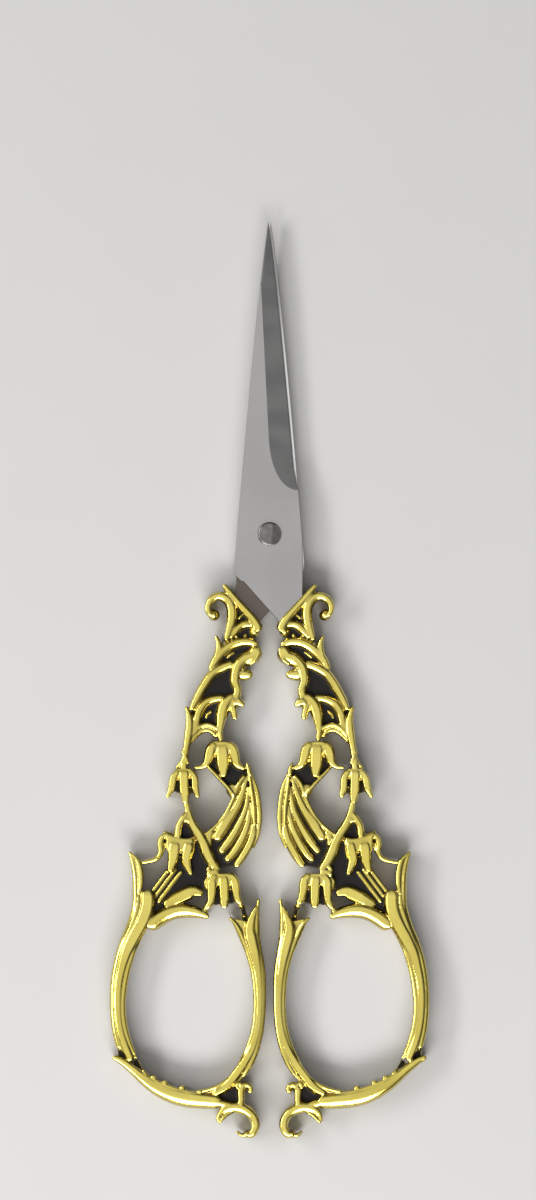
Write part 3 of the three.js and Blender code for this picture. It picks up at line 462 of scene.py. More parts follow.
BASE_BAR = [(25, -83.2), (23.6, -83.85), (21.8, -85.2), (20, -86.75), (18, -88.15), (15.5, -89.3),
            (13, -89.95), (10.5, -90.2), (7.6, -90.45)]
BASE_RIM = [(20.4, -85.6), (19.5, -86.25), (17.55, -87.4), (15.15, -88.35), (12.8, -88.95), (10.4, -89.25)]
BEADS = [(18.5, -86.55, 0.25), (16.7, -87.35, 0.2), (13.9, -88.15, 0.1)]
BEAD_REACH = 0.5
draw(BASE_BAR, 2.75, [0.3, 0.5, 0.6, 0.75, 0.9, 1, 1, 0.95, 0.8], LOOP_RISE, BROAD_FLAT)
draw(BASE_RIM, 0.9, [0.6, 0.8, 1, 1, 1, 0.6], LOOP_RISE - HEIGHT_STEP, PLATE_FLAT)
for x, y, slant in BEADS:
    bead = [(x - BEAD_REACH, y - slant), (x + BEAD_REACH, y + slant)]
    draw(bead, 2 * BEAD_REACH, [1, 1, 1], LOOP_RISE - HEIGHT_STEP, BROAD_FLAT)
draw([(19.2, -86.3), (19.8, -85.8), (20.2, -85.1)], 0.6, [0.8, 1, 0.6], STEM_RISE)
web([(19.8, -85.9), (20.9, -83.6), (21.6, -84), (21, -85.6)])
web([(22.6, -83.9), (23.2, -82.4), (24.3, -82), (24, -83.4)])
print(len(lines), "lines with the finger loop")

# %% [markdown]
# ## Foot of the handle
# The loop ends in an open curl with a bead at its end, and a small trefoil stands beside it on the loop's
# inner arm.

# %% Foot curl and trefoil
CURL = [(8.3, -93.5), (7.9, -92.3), (6.9, -91.5), (5.4, -91.25), (3.8, -91.7), (2.6, -92.8), (2.25, -94.2),
        (2.7, -95.3), (3.6, -95.8)]
TREFOIL = [(4.7, -91.2), (4.5, -90), (4.55, -89), (4.4, -88.2), (3.8, -87.7), (3.15, -87.9), (2.95, -88.5),
           (3.4, -88.9)]
draw(CURL, 1.9, [0.3, 0.5, 0.85, 1.05, 1, 0.85, 0.8, 0.75, 0.6], STEM_RISE)
draw([(3.3, -95.6), (4.4, -95.7), (5.3, -95)], 0.8, [0.9, 0.8, 0.4], LEAF_RISE)
ball((3.6, -95.5), 1.4, 1.4, STEM_RISE)
draw([(5.9, -92), (6.9, -92.5), (7.6, -93.2), (8.1, -93.8)], 0.6, [0.7, 1, 1, 0.8], LEAF_RISE)
draw([(9.2, -90.2), (7.4, -90.7), (5.8, -91)], 1.4, [1, 1, 0.8], STEM_RISE)
draw(TREFOIL, 1.05, [1.2, 1.1, 1.1, 1.2, 1.15, 0.95, 0.8, 0.6], STEM_RISE)
ball((4.6, -87.6), 1.3, 1.2, STEM_RISE)
draw([(4.3, -87.6), (4.9, -87.4), (5.2, -87.9), (4.9, -88.3)], 0.55, [1, 1, 1, 0.8], STEM_RISE)
web([(4.3, -87.6), (3.4, -87.8), (3.3, -88.6), (4.4, -88.8), (5, -91.2), (8.4, -90.2), (8.6, -89.2),
     (6.4, -88.2), (5.2, -87.4)])
print(len(lines), "lines and", len(balls), "bosses in one handle")

# %% [markdown]
# ## A tree that casts the lines
# Geometry Nodes turn every line into metal in one go. The lines become curves, a round profile runs along
# them, and each point of the skin is then moved: sideways by the line's half width, and up or down to the
# line's height. The top is level in the middle, falls away in a bevel and drops in a steeper shoulder near
# the wall. On the side towards the foot of the scissors the bevel starts sooner, so it is broader there and
# catches the light from below. The sizes sit on the points as named attributes, so one tree serves all lines.

# %% The casting tree
PROFILE_SIDES = 26
BEVEL_SLOPE = 0.5
LEAN = 0.9
SHOULDER_START = 0.66
SHOULDER_SLOPE = 1.3


def new_tree(name, inputs):
    """A Geometry Nodes tree with named inputs, as a sheet, with the wire of its group input."""
    tree = bpy.data.node_groups.new(name, "GeometryNodeTree")
    tree.interface.new_socket("Geometry", in_out="INPUT", socket_type="NodeSocketGeometry")
    tree.interface.new_socket("Geometry", in_out="OUTPUT", socket_type="NodeSocketGeometry")
    for label, kind in inputs.items():
        tree.interface.new_socket(label, in_out="INPUT", socket_type=kind)
    sheet = Sheet(tree)
    return sheet, sheet.add("NodeGroupInput")


def attribute(sheet, name, kind="FLOAT"):
    return sheet.add("GeometryNodeInputNamedAttribute", {"data_type": kind}, {"Name": name})


def end_tree(sheet, geometry, material):
    whole = sheet.add("GeometryNodeRealizeInstances", None, {"Geometry": geometry})
    smooth = sheet.add("GeometryNodeSetShadeSmooth", None, {"Geometry": whole})
    painted = sheet.add("GeometryNodeSetMaterial", None, {"Geometry": smooth, "Material": material})
    sheet.add("NodeGroupOutput", None, {"Geometry": painted})


def casting_tree():
    """Lines with sizes on their points become bars with a bevel and a shoulder."""
    sheet, group = new_tree("cast lines", {
        "Profile Sides": "NodeSocketInt", "Bevel Slope": "NodeSocketFloat", "Lean": "NodeSocketFloat",
        "Shoulder Start": "NodeSocketFloat", "Shoulder Slope": "NodeSocketFloat",
        "Unit": "NodeSocketFloat", "Material": "NodeSocketMaterial"})
    unit = group.output("Unit")
    curves = sheet.add("GeometryNodeMeshToCurve", None, {"Mesh": group.output("Geometry")})
    upright = sheet.add("GeometryNodeSetCurveNormal", {"mode": "Z_UP"}, {"Curve": curves})
    circle = sheet.add("GeometryNodeCurvePrimitiveCircle", None, {
        "Resolution": group.output("Profile Sides"), "Radius": unit})
    half_step = sheet.add("ShaderNodeCombineXYZ", None, {"Z": math.pi / group.output("Profile Sides")})
    profile = sheet.add("GeometryNodeTransform", None, {"Geometry": circle, "Rotation": half_step})
    skin = sheet.add("GeometryNodeCurveToMesh", None, {
        "Curve": upright, "Profile Curve": profile, "Fill Caps": True})

    centre = attribute(sheet, "centre", "FLOAT_VECTOR")
    position = sheet.add("GeometryNodeInputPosition")
    out = sheet.add("ShaderNodeVectorMath", {"operation": "SUBTRACT"}, {0: position, 1: centre})
    parts = sheet.add("ShaderNodeSeparateXYZ", None, {0: out})
    up = parts.output("Z") / unit
    side = sheet.add("ShaderNodeMath", {"operation": "SIGN"}, {0: up})
    across = sheet.add("ShaderNodeMath", {"operation": "SQRT"}, {0: 1 - up * up})
    below = 0 - parts.output("Y") / unit / across
    below = below.maths("MAXIMUM", below, 0)
    flat = attribute(sheet, "flat") * (1 - group.output("Lean") * below)
    fall = 0
    for part, start in [("Bevel", flat), ("Shoulder", group.output("Shoulder Start"))]:
        beyond = sheet.add("ShaderNodeMath", {"operation": "SUBTRACT", "use_clamp": True}, {
            0: across, 1: start})
        fall = fall + beyond * group.output(part + " Slope")
    half_width = attribute(sheet, "half_width")
    height = side * (attribute(sheet, "half_height") - half_width * fall)
    wide = half_width / unit
    shift = sheet.add("ShaderNodeCombineXYZ", None, {
        "X": parts.output("X") * wide, "Y": parts.output("Y") * wide, "Z": height})
    place = sheet.add("ShaderNodeVectorMath", {"operation": "ADD"}, {0: centre, 1: shift})
    shaped = sheet.add("GeometryNodeSetPosition", None, {"Geometry": skin, "Position": place})
    end_tree(sheet, shaped, group.output("Material"))
    return sheet.tree


def boss_tree():
    """Points with a size become round bosses."""
    sheet, group = new_tree("cast bosses", {
        "Segments": "NodeSocketInt", "Unit": "NodeSocketFloat", "Material": "NodeSocketMaterial"})
    sphere = sheet.add("GeometryNodeMeshUVSphere", None, {
        "Segments": group.output("Segments"), "Rings": group.output("Segments"),
        "Radius": group.output("Unit")})
    bosses = sheet.add("GeometryNodeInstanceOnPoints", None, {
        "Points": group.output("Geometry"), "Instance": sphere,
        "Scale": attribute(sheet, "size", "FLOAT_VECTOR")})
    end_tree(sheet, bosses, group.output("Material"))
    return sheet.tree


print("profile of", PROFILE_SIDES, "sides, bevel slope", BEVEL_SLOPE, "and shoulder slope", SHOULDER_SLOPE)

# %% [markdown]
# ## Gold plate with black patina and painted shade
# The plate is a pale, slightly green gold under a clear lacquer, polished on the crowns. In the recesses a
# black patina was left when the high places were polished. The mesh carries two values for that. One is the
# black: patina in the recesses, and painted shade on upright walls. The other is high on the worn crowns
# and on level faces, which are painted lit, and low on steep flanks and in hollows, which get a painted
# shade of dark olive gold. The finish mixes black into gold by them, with a little noise so that the border
# is uneven, and tiny polishing marks vary the roughness.


# %% Gold finish
def new_finish(name):
    material = bpy.data.materials.new(name)
    material.use_nodes = True
    material.node_tree.nodes.clear()
    return material, Sheet(material.node_tree)


def close_finish(sheet, sockets):
    shader = sheet.add("ShaderNodeBsdfPrincipled", None, sockets)
    sheet.add("ShaderNodeOutputMaterial", None, {"Surface": shader})


def mix_value(sheet, share, first, second):
    return sheet.add("ShaderNodeMix", {"data_type": "FLOAT"}, {0: share, 2: first, 3: second})


def mix_colour(sheet, share, first, second):
    return sheet.add("ShaderNodeMix", {"data_type": "RGBA"}, {0: share, 6: first, 7: second}, 2)


def ramp(sheet, value, low, high):
    """0 below low, 1 above high, with a smooth rise between."""
    return sheet.add("ShaderNodeMapRange", {"interpolation_type": "SMOOTHSTEP"}, {
        "Value": value, "From Min": low, "From Max": high})


def noise(sheet, scale, detail=3.0, stretch=(1, 1, 1)):
    place = sheet.add("ShaderNodeTexCoord", output="Object")
    turned = sheet.add("ShaderNodeMapping", None, {"Vector": place, "Scale": stretch})
    return sheet.add("ShaderNodeTexNoise", None, {"Vector": turned, "Scale": scale, "Detail": detail})


def bump(sheet, strength, depth, height):
    return sheet.add("ShaderNodeBump", None, {"Strength": strength, "Distance": depth, "Height": height})


def mesh_value(sheet, name):
    return sheet.add("ShaderNodeAttribute", {"attribute_name": name}, output="Fac")


GOLD = (0.86, 0.705, 0.118, 1)
# Painted shade: steep flanks and hollows of the gold are painted this dark olive.
SHADED_GOLD = (0.26, 0.18, 0.026, 1)
BRIGHT_GOLD = (0.92, 0.775, 0.17, 1)
# Black of the patina in the recesses, also painted as shade on upright walls.
PATINA_AND_SHADE_BLACK = (0.006, 0.0045, 0.0035, 1)
GRAIN_SCALE = 900
CLOUD_SCALE = 140
CLOUD_BORDER = (0.3, 0.7)
PATINA_BORDER = (0.35, 0.75)
BORDER_UNEVENNESS = 0.35
PLATE_ROUGHNESS = 0.24
MARK_ROUGHNESS = 0.04
WEAR_POLISH = 0.12
PATINA_ROUGHNESS = 0.62
PATINA_METAL_LOSS = 0.8
PATINA_COAT_LOSS = 0.9
EDGE_SHINE = 0.25
COAT_ROUGHNESS = 0.1
GOLD_BUMP = 0.12
GOLD_BUMP_DEPTH = 0.05 * MM


def gold_finish():
    material, sheet = new_finish("gold plate")
    lit_and_worn = mesh_value(sheet, "lit_and_worn")
    grain = noise(sheet, GRAIN_SCALE)
    cloud = noise(sheet, CLOUD_SCALE)
    patina_and_shade = mesh_value(sheet, "patina_and_shade") + (grain - 0.5) * BORDER_UNEVENNESS
    black = ramp(sheet, patina_and_shade, *PATINA_BORDER)
    plate = mix_colour(sheet, ramp(sheet, cloud, *CLOUD_BORDER), GOLD, BRIGHT_GOLD)
    # Painted shade and light: the plate shows on worn crowns and level faces, the dark shaded gold elsewhere.
    lit_and_buffed = mix_colour(sheet, lit_and_worn, SHADED_GOLD, plate)
    polish = PLATE_ROUGHNESS + cloud * MARK_ROUGHNESS + grain * MARK_ROUGHNESS - lit_and_worn * WEAR_POLISH
    close_finish(sheet, {
        "Base Color": mix_colour(sheet, black, lit_and_buffed, PATINA_AND_SHADE_BLACK),
        "Metallic": 1 - black * PATINA_METAL_LOSS,
        "Roughness": mix_value(sheet, black, polish, PATINA_ROUGHNESS),
        "Normal": bump(sheet, GOLD_BUMP, GOLD_BUMP_DEPTH, grain + cloud),
        "Specular IOR Level": EDGE_SHINE,
        "Coat Weight": 1 - black * PATINA_COAT_LOSS,
        "Coat Roughness": COAT_ROUGHNESS,
    })
    return material


gold_plate = gold_finish()
print("finish:", gold_plate.name)

# %% [markdown]
# ## One casting
# The lines, bosses and webs are separate closed skins that run through each other. A real casting is one
# piece whose inner corners are slightly filled. A voxel remesh gives just that: one skin with soft corners.
# The metal is squeezed to half height first, so that the plain upright walls take only half as many faces.

# %% Metal from the lines
BOSS_SEGMENTS = 16


def new_object(name, data):
    piece = bpy.data.objects.new(name, data)
    bpy.context.scene.collection.objects.link(piece)
    return piece


def evaluated_mesh(piece):
    """The piece's mesh with its modifiers, as a plain mesh; the piece itself goes away."""
    bpy.context.view_layer.update()
    graph = bpy.context.evaluated_depsgraph_get()
    mesh = bpy.data.meshes.new_from_object(piece.evaluated_get(graph))
    bpy.data.objects.remove(piece)
    return mesh


def grown(name, mesh, tree, values):
    """What a Geometry Nodes tree makes of a mesh, with the tree's named inputs set."""
    piece = new_object(name, mesh)
    modifier = piece.modifiers.new(name, "NODES")
    modifier.node_group = tree
    sockets = {socket.name: socket.identifier for socket in tree.interface.items_tree}
    for label, value in values.items():
        modifier[sockets[label]] = value
    return evaluated_mesh(piece)


def store(mesh, name, kind, values):
    layer = mesh.attributes.new(name, kind, "POINT")
    field = "vector" if kind == "FLOAT_VECTOR" else "value"
    layer.data.foreach_set(field, np.ravel(values).astype(np.float32))


def mesh_of(shell, name):
    mesh = bpy.data.meshes.new(name)
    shell.to_mesh(mesh)
    shell.free()
    return mesh


def bridge(shell, rings):
    """Joins each ring to the next one with a band of four-sided faces."""
    for low, high in zip(rings, rings[1:]):
        for i in range(len(low)):
            shell.faces.new((low[i - 1], low[i], high[i], high[i - 1]))


def line_mesh():
    places = np.vstack([np.column_stack([line[0], np.zeros(len(line[0]))]) for line in lines]) * MM
    counts = [len(line[0]) for line in lines]
    starts = np.append(0, np.cumsum(counts)[:-1])
    edges = [(start + i, start + i + 1) for start, count in zip(starts, counts) for i in range(count - 1)]
    mesh = bpy.data.meshes.new("lines")
    mesh.from_pydata(places.tolist(), edges, [])
    store(mesh, "centre", "FLOAT_VECTOR", places)
    for index, (name, unit) in enumerate([("half_width", MM), ("half_height", MM), ("flat", 1)], 1):
        store(mesh, name, "FLOAT", np.concatenate([line[index] for line in lines]) * unit)
    return mesh


def boss_mesh():
    mesh = bpy.data.meshes.new("bosses")
    mesh.from_pydata([(x * MM, y * MM, 0) for (x, y), _ in balls], [], [])
    store(mesh, "size", "FLOAT_VECTOR", [size for _, size in balls])
    return mesh


def web_mesh():
    shell = bmesh.new()
    for outline, rise in webs:
        rings = [[shell.verts.new((x * MM, y * MM, z * MM)) for x, y in outline] for z in (-rise, rise)]
        shell.faces.new(rings[1])
        shell.faces.new(rings[0][::-1])
        bridge(shell, rings)
    bmesh.ops.recalc_face_normals(shell, faces=shell.faces)
    return mesh_of(shell, "webs")


bars = grown("bars", line_mesh(), casting_tree(), {
    "Profile Sides": PROFILE_SIDES, "Bevel Slope": BEVEL_SLOPE, "Lean": LEAN,
    "Shoulder Start": SHOULDER_START, "Shoulder Slope": SHOULDER_SLOPE,
    "Unit": MM, "Material": gold_plate})
bosses = grown("bosses", boss_mesh(), boss_tree(), {
    "Segments": BOSS_SEGMENTS, "Unit": MM, "Material": gold_plate})
print("bars:", len(bars.polygons), "faces; bosses:", len(bosses.polygons), "faces")

# %% One skin over the metal
VOXEL = 0.12 * MM
SQUEEZE = 0.5
SOFT_FACTOR = 0.5
SOFT_ROUNDS = 2
MOST_TRIANGLES = 190000


def joined(meshes):
    shell = bmesh.new()
    for mesh in meshes:
        shell.from_mesh(mesh)
    return mesh_of(shell, "metal")


def get_places(mesh):
    places = np.empty(len(mesh.vertices) * 3, np.float32)
    mesh.vertices.foreach_get("co", places)
    return places.reshape(-1, 3)


def set_places(mesh, places):
    mesh.vertices.foreach_set("co", places.ravel())
    mesh.update()


def scale_height(mesh, factor):
    places = get_places(mesh)
    places[:, 2] *= factor
    set_places(mesh, places)


def triangles(mesh):
    return sum(len(face.vertices) - 2 for face in mesh.polygons)


def cast(meshes):
    """One closed skin over all the meshes, with few enough triangles."""
    metal = joined(meshes)
    scale_height(metal, SQUEEZE)
    block = new_object("metal", metal)
    skin = block.modifiers.new("skin", "REMESH")
    skin.mode = "VOXEL"
    skin.voxel_size = VOXEL
    soft = block.modifiers.new("soft", "SMOOTH")
    soft.factor = SOFT_FACTOR
    soft.iterations = SOFT_ROUNDS
    fine = evaluated_mesh(block)
    scale_height(fine, 1 / SQUEEZE)
    count = triangles(fine)
    if count > MOST_TRIANGLES:
        block = new_object("metal", fine)
        block.modifiers.new("thin", "DECIMATE").ratio = MOST_TRIANGLES / count
        fine = evaluated_mesh(block)
    fine.polygons.foreach_set("material_index", np.zeros(len(fine.polygons), np.int32))
    fine.shade_smooth()
    print("casting:", count, "triangles, kept", triangles(fine))
    return fine


casting = cast([bars, bosses, web_mesh()])

# %% [markdown]
# ## Patina, worn crowns and painted shade from the shape
# Patina stays where a buffing wheel doesn't reach: on the deep webs, in hollows, and on walls that other
# metal encloses. A hollow is found by smoothing a copy of the surface many times. Where the smoothed skin
# rises above the true one there is a hollow, and where it sinks below there is a crown. A wall is enclosed
# if a ray that drops a little outside it meets metal. All upright walls of the ornament also get black by
# their slope alone, which is painted shade that outlines the lines; on outer walls only this weaker painted
# shade is left. The finger loop is rubbed in use, so the black in its hollows is weaker. A second value is
# high on worn crowns and on level faces, which are painted lit, and low on steep flanks and in hollows,
# which are painted in shade.

# %% Measure hollows and crowns
SMOOTHING_ROUNDS = 40
HOLLOW_DEPTH = 0.14
CROWN_HEIGHT = 0.16
LOOP_BORDER = (59, 60)
# Black on upright walls: patina in cells and slots, and a painted shade that outlines the lines.
WALL_PATINA_AND_SHADE = 0.8
OUTER_SHARE = 0.4
LOOP_SHARE = 0.6
SIDE_REACH = 0.5
LEVEL_FACE = (0.45, 0.85)
UPRIGHT_WALL = (0.3, 0.7)
WEB_BAND = (0.08, 0.3)
# Faces from this level on are painted lit by the share below, and steeper flanks are painted in shade.
LIT_FACE = (0.3, 0.85)
FACE_LIGHT = 0.7
CROWN_WEAR = 0.3
LEAST_HOLLOW = 0.03
# Share by which hollows are painted in shade with the dark gold.
HOLLOW_SHADE = 0.8


def step(values, low, high):
    """0 below low, 1 above high, with a smooth rise between."""
    share = np.clip((values - low) / (high - low), 0, 1)
    return share * share * (3 - 2 * share)


def metal_beside(mesh, places, normals, walls):
    """1 for a wall point with metal close beside it, as in a cell or a slot, and 0 for an outer wall."""
    tree = BVHTree.FromPolygons(places.tolist(), [face.vertices[:] for face in mesh.polygons])
    beside = np.zeros(len(places))
    for index in np.flatnonzero(walls):
        out = normals[index, :2] / np.linalg.norm(normals[index, :2])
        x, y = places[index, :2] + SIDE_REACH * out
        hit = tree.ray_cast((x, y, 2 * LOOP_RISE), (0, 0, -1))
        beside[index] = hit[0] is not None
    return beside


def hollow_depth(mesh, places, normals):
    """How far a much smoothed skin lies above the true one: more than 0 in a hollow, less on a crown."""
    pairs = np.empty(len(mesh.edges) * 2, np.int32)
    mesh.edges.foreach_get("vertices", pairs)
    pairs = pairs.reshape(-1, 2)
    here, there = np.concatenate([pairs, pairs[:, ::-1]]).T
    count = len(places)
    degree = np.bincount(here, minlength=count)
    smooth = places.copy()
    for _ in range(SMOOTHING_ROUNDS):
        around = [np.bincount(here, smooth[there, axis], count) / degree for axis in range(3)]
        smooth = (smooth + np.column_stack(around)) / 2
    return ((smooth - places) * normals).sum(axis=1)


def paint_hollows(mesh):
    """Stores on the points the black of the recesses and of painted shade,
    and a value for worn crowns and for faces that are painted lit.
    """
    places = get_places(mesh).astype(float) / MM
    normals = np.empty(places.size, np.float32)
    mesh.vertex_normals.foreach_get("vector", normals)
    normals = normals.reshape(-1, 3)
    level = np.abs(normals[:, 2])
    hollow = hollow_depth(mesh, places, normals)
    ornament = 1 - step(-places[:, 1], *LOOP_BORDER)
    grooves = step(hollow, HOLLOW_DEPTH, 2 * HOLLOW_DEPTH) * (LOOP_SHARE + (1 - LOOP_SHARE) * ornament)
    # Painted shade: upright walls are blackened by their slope, fully beside other metal and weaker on outer
    # walls.
    walls = WALL_PATINA_AND_SHADE * (1 - step(level, *UPRIGHT_WALL))
    walls *= OUTER_SHARE + (1 - OUTER_SHARE) * metal_beside(mesh, places, normals, walls)
    from_web = np.abs(np.abs(places[:, 2]) - WEB_RISE)
    deep = (1 - step(from_web, *WEB_BAND)) * step(level, *LEVEL_FACE)
    patina_and_shade = np.clip(grooves + ornament * walls + deep, 0, 1)
    # Painted light: level faces count as lit and steep flanks as shaded; worn crowns are lighter, hollows
    # shaded.
    lit_and_buffed = FACE_LIGHT * step(level, *LIT_FACE) + CROWN_WEAR * step(-hollow, LEAST_HOLLOW, CROWN_HEIGHT)
    lit_and_worn = np.clip(lit_and_buffed * (1 - HOLLOW_SHADE * step(hollow, LEAST_HOLLOW, HOLLOW_DEPTH)), 0, 1)
    for name, values in [("patina_and_shade", patina_and_shade), ("lit_and_worn", lit_and_worn)]:
        store(mesh, name, "FLOAT", values)
        print(name, "on average", round(100 * values.mean(), 1), "%")


paint_hollows(casting)

# %% [markdown]
# ## Right and left handle
# Both handles come from one mould. The left one is the right one turned over about the scissors' long axis.
# That turn flips X and the height at once, so it is a true turn and the faces keep pointing outwards.


# %% Both handles
def placed(name, shape, finish, turned_over, lift=0):
    """A copy of the shape in its place, lifted first and then turned over where that is asked for."""
    mesh = shape.copy()
    places = get_places(mesh) + np.array([0, 0, lift], np.float32)
    if turned_over:
        places = places * np.array([-1, 1, -1], np.float32)
    set_places(mesh, places + np.array([0, 0, middle_plane], np.float32))
    mesh.materials.clear()
    mesh.materials.append(finish)
    return new_object(name, mesh)


right_casting = placed("right_casting", casting, gold_plate, False)
left_casting = placed("left_casting", casting, gold_plate, True)
for piece, node, body in [(right_casting, "right_handle", "front_half"),
                          (left_casting, "left_handle", "rear_half")]:
    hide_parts(node)
    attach(piece, body)
print("handles:", right_casting.name, "and", left_casting.name)

# %% [markdown]
# ## Blades
# A blade is a flat bar of steel that tapers to a point, with one ground face towards its cutting edge. The
# grinding starts at a rounded heel above the rivet and takes up the whole width near the tip. At each height
# the blade has one left and one right limit, so it can be made as a row of rings from its foot to its tip.
# Small chamfers along the spine catch the light as real edges do.

# %% Outline of a blade
BLADE_REACH = 49.7
BLADE_THICKNESS = 1.4
BLADE_HALF_WIDTH = 5.2
SPINE_POWER = 0.82
SPINE_RUN = 50.71
EDGE_SETBACK = 0.4
SETBACK_RUN = 3.5
SIDE_BULGE = 0.1
BULGE_TURN = 0.75 * math.pi
EDGE_THICKNESS = 0.3
TIP_THICKNESS = 0.75
FOOT = (1.6, -14)
FOOT_WIDTH = 0.05
NECK = (5.3, -10)
CORNER = (-4.2, -7.5)
CORNER_TOP = -5
HEEL_HEIGHT = 7
HEEL_RUN = 8.5
HEEL_ROUND = 2.25
GRIND_OFFSET = 0.3
GRIND_TOP = 40.5
CHAMFER = 0.1


def spine_x(y):
    return -BLADE_HALF_WIDTH * max(0, 1 - y / SPINE_RUN) ** SPINE_POWER


def left_x(y):
    """The spine, then a rounded corner, then the slanted foot."""
    if y >= CORNER_TOP:
        return spine_x(y)
    if y >= CORNER[1]:
        drop = (CORNER_TOP - y) / (CORNER_TOP - CORNER[1])
        return spine_x(CORNER_TOP) + (CORNER[0] - spine_x(CORNER_TOP)) * (1 - math.sqrt(1 - drop**2))
    return np.interp(y, [FOOT[1], CORNER[1]], [FOOT[0], CORNER[0]])


def right_x(y):
    """The cutting edge and the blade's side, then the slanted shoulder along the handle's rail."""
    if y >= 0:
        return -spine_x(y) - EDGE_SETBACK * np.clip((y - HEEL_HEIGHT) / SETBACK_RUN, 0, 1)
    if y >= NECK[1]:
        return -spine_x(0) + SIDE_BULGE * math.sin(BULGE_TURN * min(1, y / NECK[1]))
    return np.interp(y, [FOOT[1], NECK[1]], [FOOT[0] + FOOT_WIDTH, right_x(NECK[1])])


def heel_share(y):
    """How much of the grinding is reached: 0 at the heel, 1 from the end of its round part."""
    run = min(1, (y - HEEL_HEIGHT) / HEEL_RUN)
    return (1 - (1 - run) ** HEEL_ROUND) ** (1 / HEEL_ROUND)


def grind_x(y):
    """Where the flat ends and the ground face begins."""
    rise = (y - HEEL_HEIGHT) / (GRIND_TOP - HEEL_HEIGHT)
    line = max(spine_x(y), GRIND_OFFSET + (spine_x(GRIND_TOP) - GRIND_OFFSET) * rise)
    return line + (right_x(HEEL_HEIGHT) - line) * (1 - heel_share(y))


print("blade at the pivot:", round(left_x(0), 2), "to", round(right_x(0), 2), "mm")

# %% [markdown]
# ## Rings of a blade
# Each ring starts at the underside and goes round: up the spine with its chamfers, over the flat, down the
# ground face and round the edge. Three values on its points mark the steel. `ground` is the ground face,
# where fine lines run across, while the flat is polished along its length. The second value is a painted
# shadow on the foot of the underside, and the third a painted highlight on a strip along the spine there.
# Closed scissors show these two on the rear blade, beside the front one. The hole for the rivet is cut last,
# as with a drill.

# %% Blade mesh
FLAT_STEPS = 6
GROUND_STEPS = 6
SEAM = 0.02
GRIND_SLOPE = 0.24
EDGE_STRIP = 0.22
EDGE_FOOT = 0.05
EDGE_TOP = 0.1
# A narrow ring near the tip is at least this many chamfers, seams and strips wide.
CHAMFERS_ACROSS = 6
SEAMS_ACROSS = 8
STRIPS_ACROSS = 4

# Width and end of the painted highlight along the spine of the underside.
HIGHLIGHT_STRIP = 0.8
HIGHLIGHT_END = (28, 39)
# End of the painted shadow on the foot of the underside.
SHADOW_END = (-6, -4)
FOOT_RINGS = 8
NECK_RINGS = 6
CORNER_RINGS = 10
CORNER_EASE = 1.6
MIDDLE_RINGS = 14
HEEL_RINGS = 24
HEEL_FIRST = 0.002
TIP_RINGS = 60
END_GAP = 0.02
WELD = 0.002 * MM


def thickness_at(y):
    return np.interp(y, [GRIND_TOP, BLADE_REACH], [BLADE_THICKNESS, TIP_THICKNESS])


def blade_ring(y):
    """Points (x, z) of a cross-section, each with shares of ground steel, painted shadow and highlight."""
    left, right, top = left_x(y), right_x(y), thickness_at(y)
    chamfer = min(CHAMFER, (right - left) / CHAMFERS_ACROSS)
    seam = min(SEAM, (right - left) / SEAMS_ACROSS)
    start, low, ground = right - chamfer, top - chamfer, 0.0
    if y > HEEL_HEIGHT:
        start = max(min(grind_x(y), right - chamfer), left + chamfer)
        drop = min(top - EDGE_THICKNESS, GRIND_SLOPE * (right - start)) * heel_share(y)
        low = top - max(drop, chamfer)
        ground = 1.0
    flat_end = max(start - seam, left + chamfer)
    flat = [(x, top, 0, 0, 0) for x in np.linspace(left + chamfer, flat_end, FLAT_STEPS)]
    strip = min(EDGE_STRIP, (right - start) / STRIPS_ACROSS) * ground
    slope = []
    for share in np.linspace(0, 1, GROUND_STEPS):
        slope.append((start + (right - strip - start) * share, top + (low - top) * share, ground, 0, 0))
    edge = [(right, max(low - strip, EDGE_TOP), ground, 0, 0), (right, EDGE_FOOT, 0, 0, 0)]
    # Painted shadow on the foot of the underside.
    painted_shadow = np.interp(y, SHADOW_END, [1, 0])
    inner = min(left + chamfer + HIGHLIGHT_STRIP, right - chamfer)
    # Painted highlight on a strip along the spine, where there is no painted shadow.
    painted_highlight = (1 - painted_shadow) * np.interp(y, HIGHLIGHT_END, [1, 0])
    under = [(right - chamfer / 2, 0, 0, painted_shadow, 0), (inner, 0, 0, painted_shadow, 0),
             (inner - seam, 0, 0, painted_shadow, painted_highlight), (left + chamfer, 0, 0, painted_shadow, painted_highlight)]
    spine = [(left, chamfer, 0, 0, 0), (left, top - chamfer, 0, 0, 0)]
    return [*under, *spine, *flat, *slope, *edge]


def blade_heights():
    """Where the rings lie: closer together round the corner of the foot and at the heel."""
    corner = CORNER[1] + (CORNER_TOP - CORNER[1]) * np.linspace(0, 1, CORNER_RINGS) ** CORNER_EASE
    heel = HEEL_HEIGHT + HEEL_RUN * np.linspace(HEEL_FIRST, 1, HEEL_RINGS) ** 2
    return np.concatenate([
        np.linspace(FOOT[1] + END_GAP, NECK[1], FOOT_RINGS),
        np.linspace(NECK[1], CORNER[1], NECK_RINGS)[1:],
        corner[1:],
        np.linspace(CORNER_TOP, HEEL_HEIGHT, MIDDLE_RINGS)[1:],
        heel,
        np.linspace(heel[-1], BLADE_REACH - END_GAP, TIP_RINGS)[1:],
    ])


def blade_mesh():
    shell = bmesh.new()
    layers = [shell.verts.layers.float.new(name) for name in ("ground", "painted_shadow", "painted_highlight")]
    rings = []
    for y in blade_heights():
        ring = []
        for x, z, *shares in blade_ring(y):
            vertex = shell.verts.new((x * MM, y * MM, z * MM))
            for layer, share in zip(layers, shares):
                vertex[layer] = share
            ring.append(vertex)
        rings.append(ring)
    bridge(shell, rings)
    ends = [shell.faces.new(rings[0]), shell.faces.new(rings[-1][::-1])]
    bmesh.ops.poke(shell, faces=ends)
    bmesh.ops.remove_doubles(shell, verts=shell.verts, dist=WELD)
    bmesh.ops.recalc_face_normals(shell, faces=shell.faces)
    return mesh_of(shell, "blade")


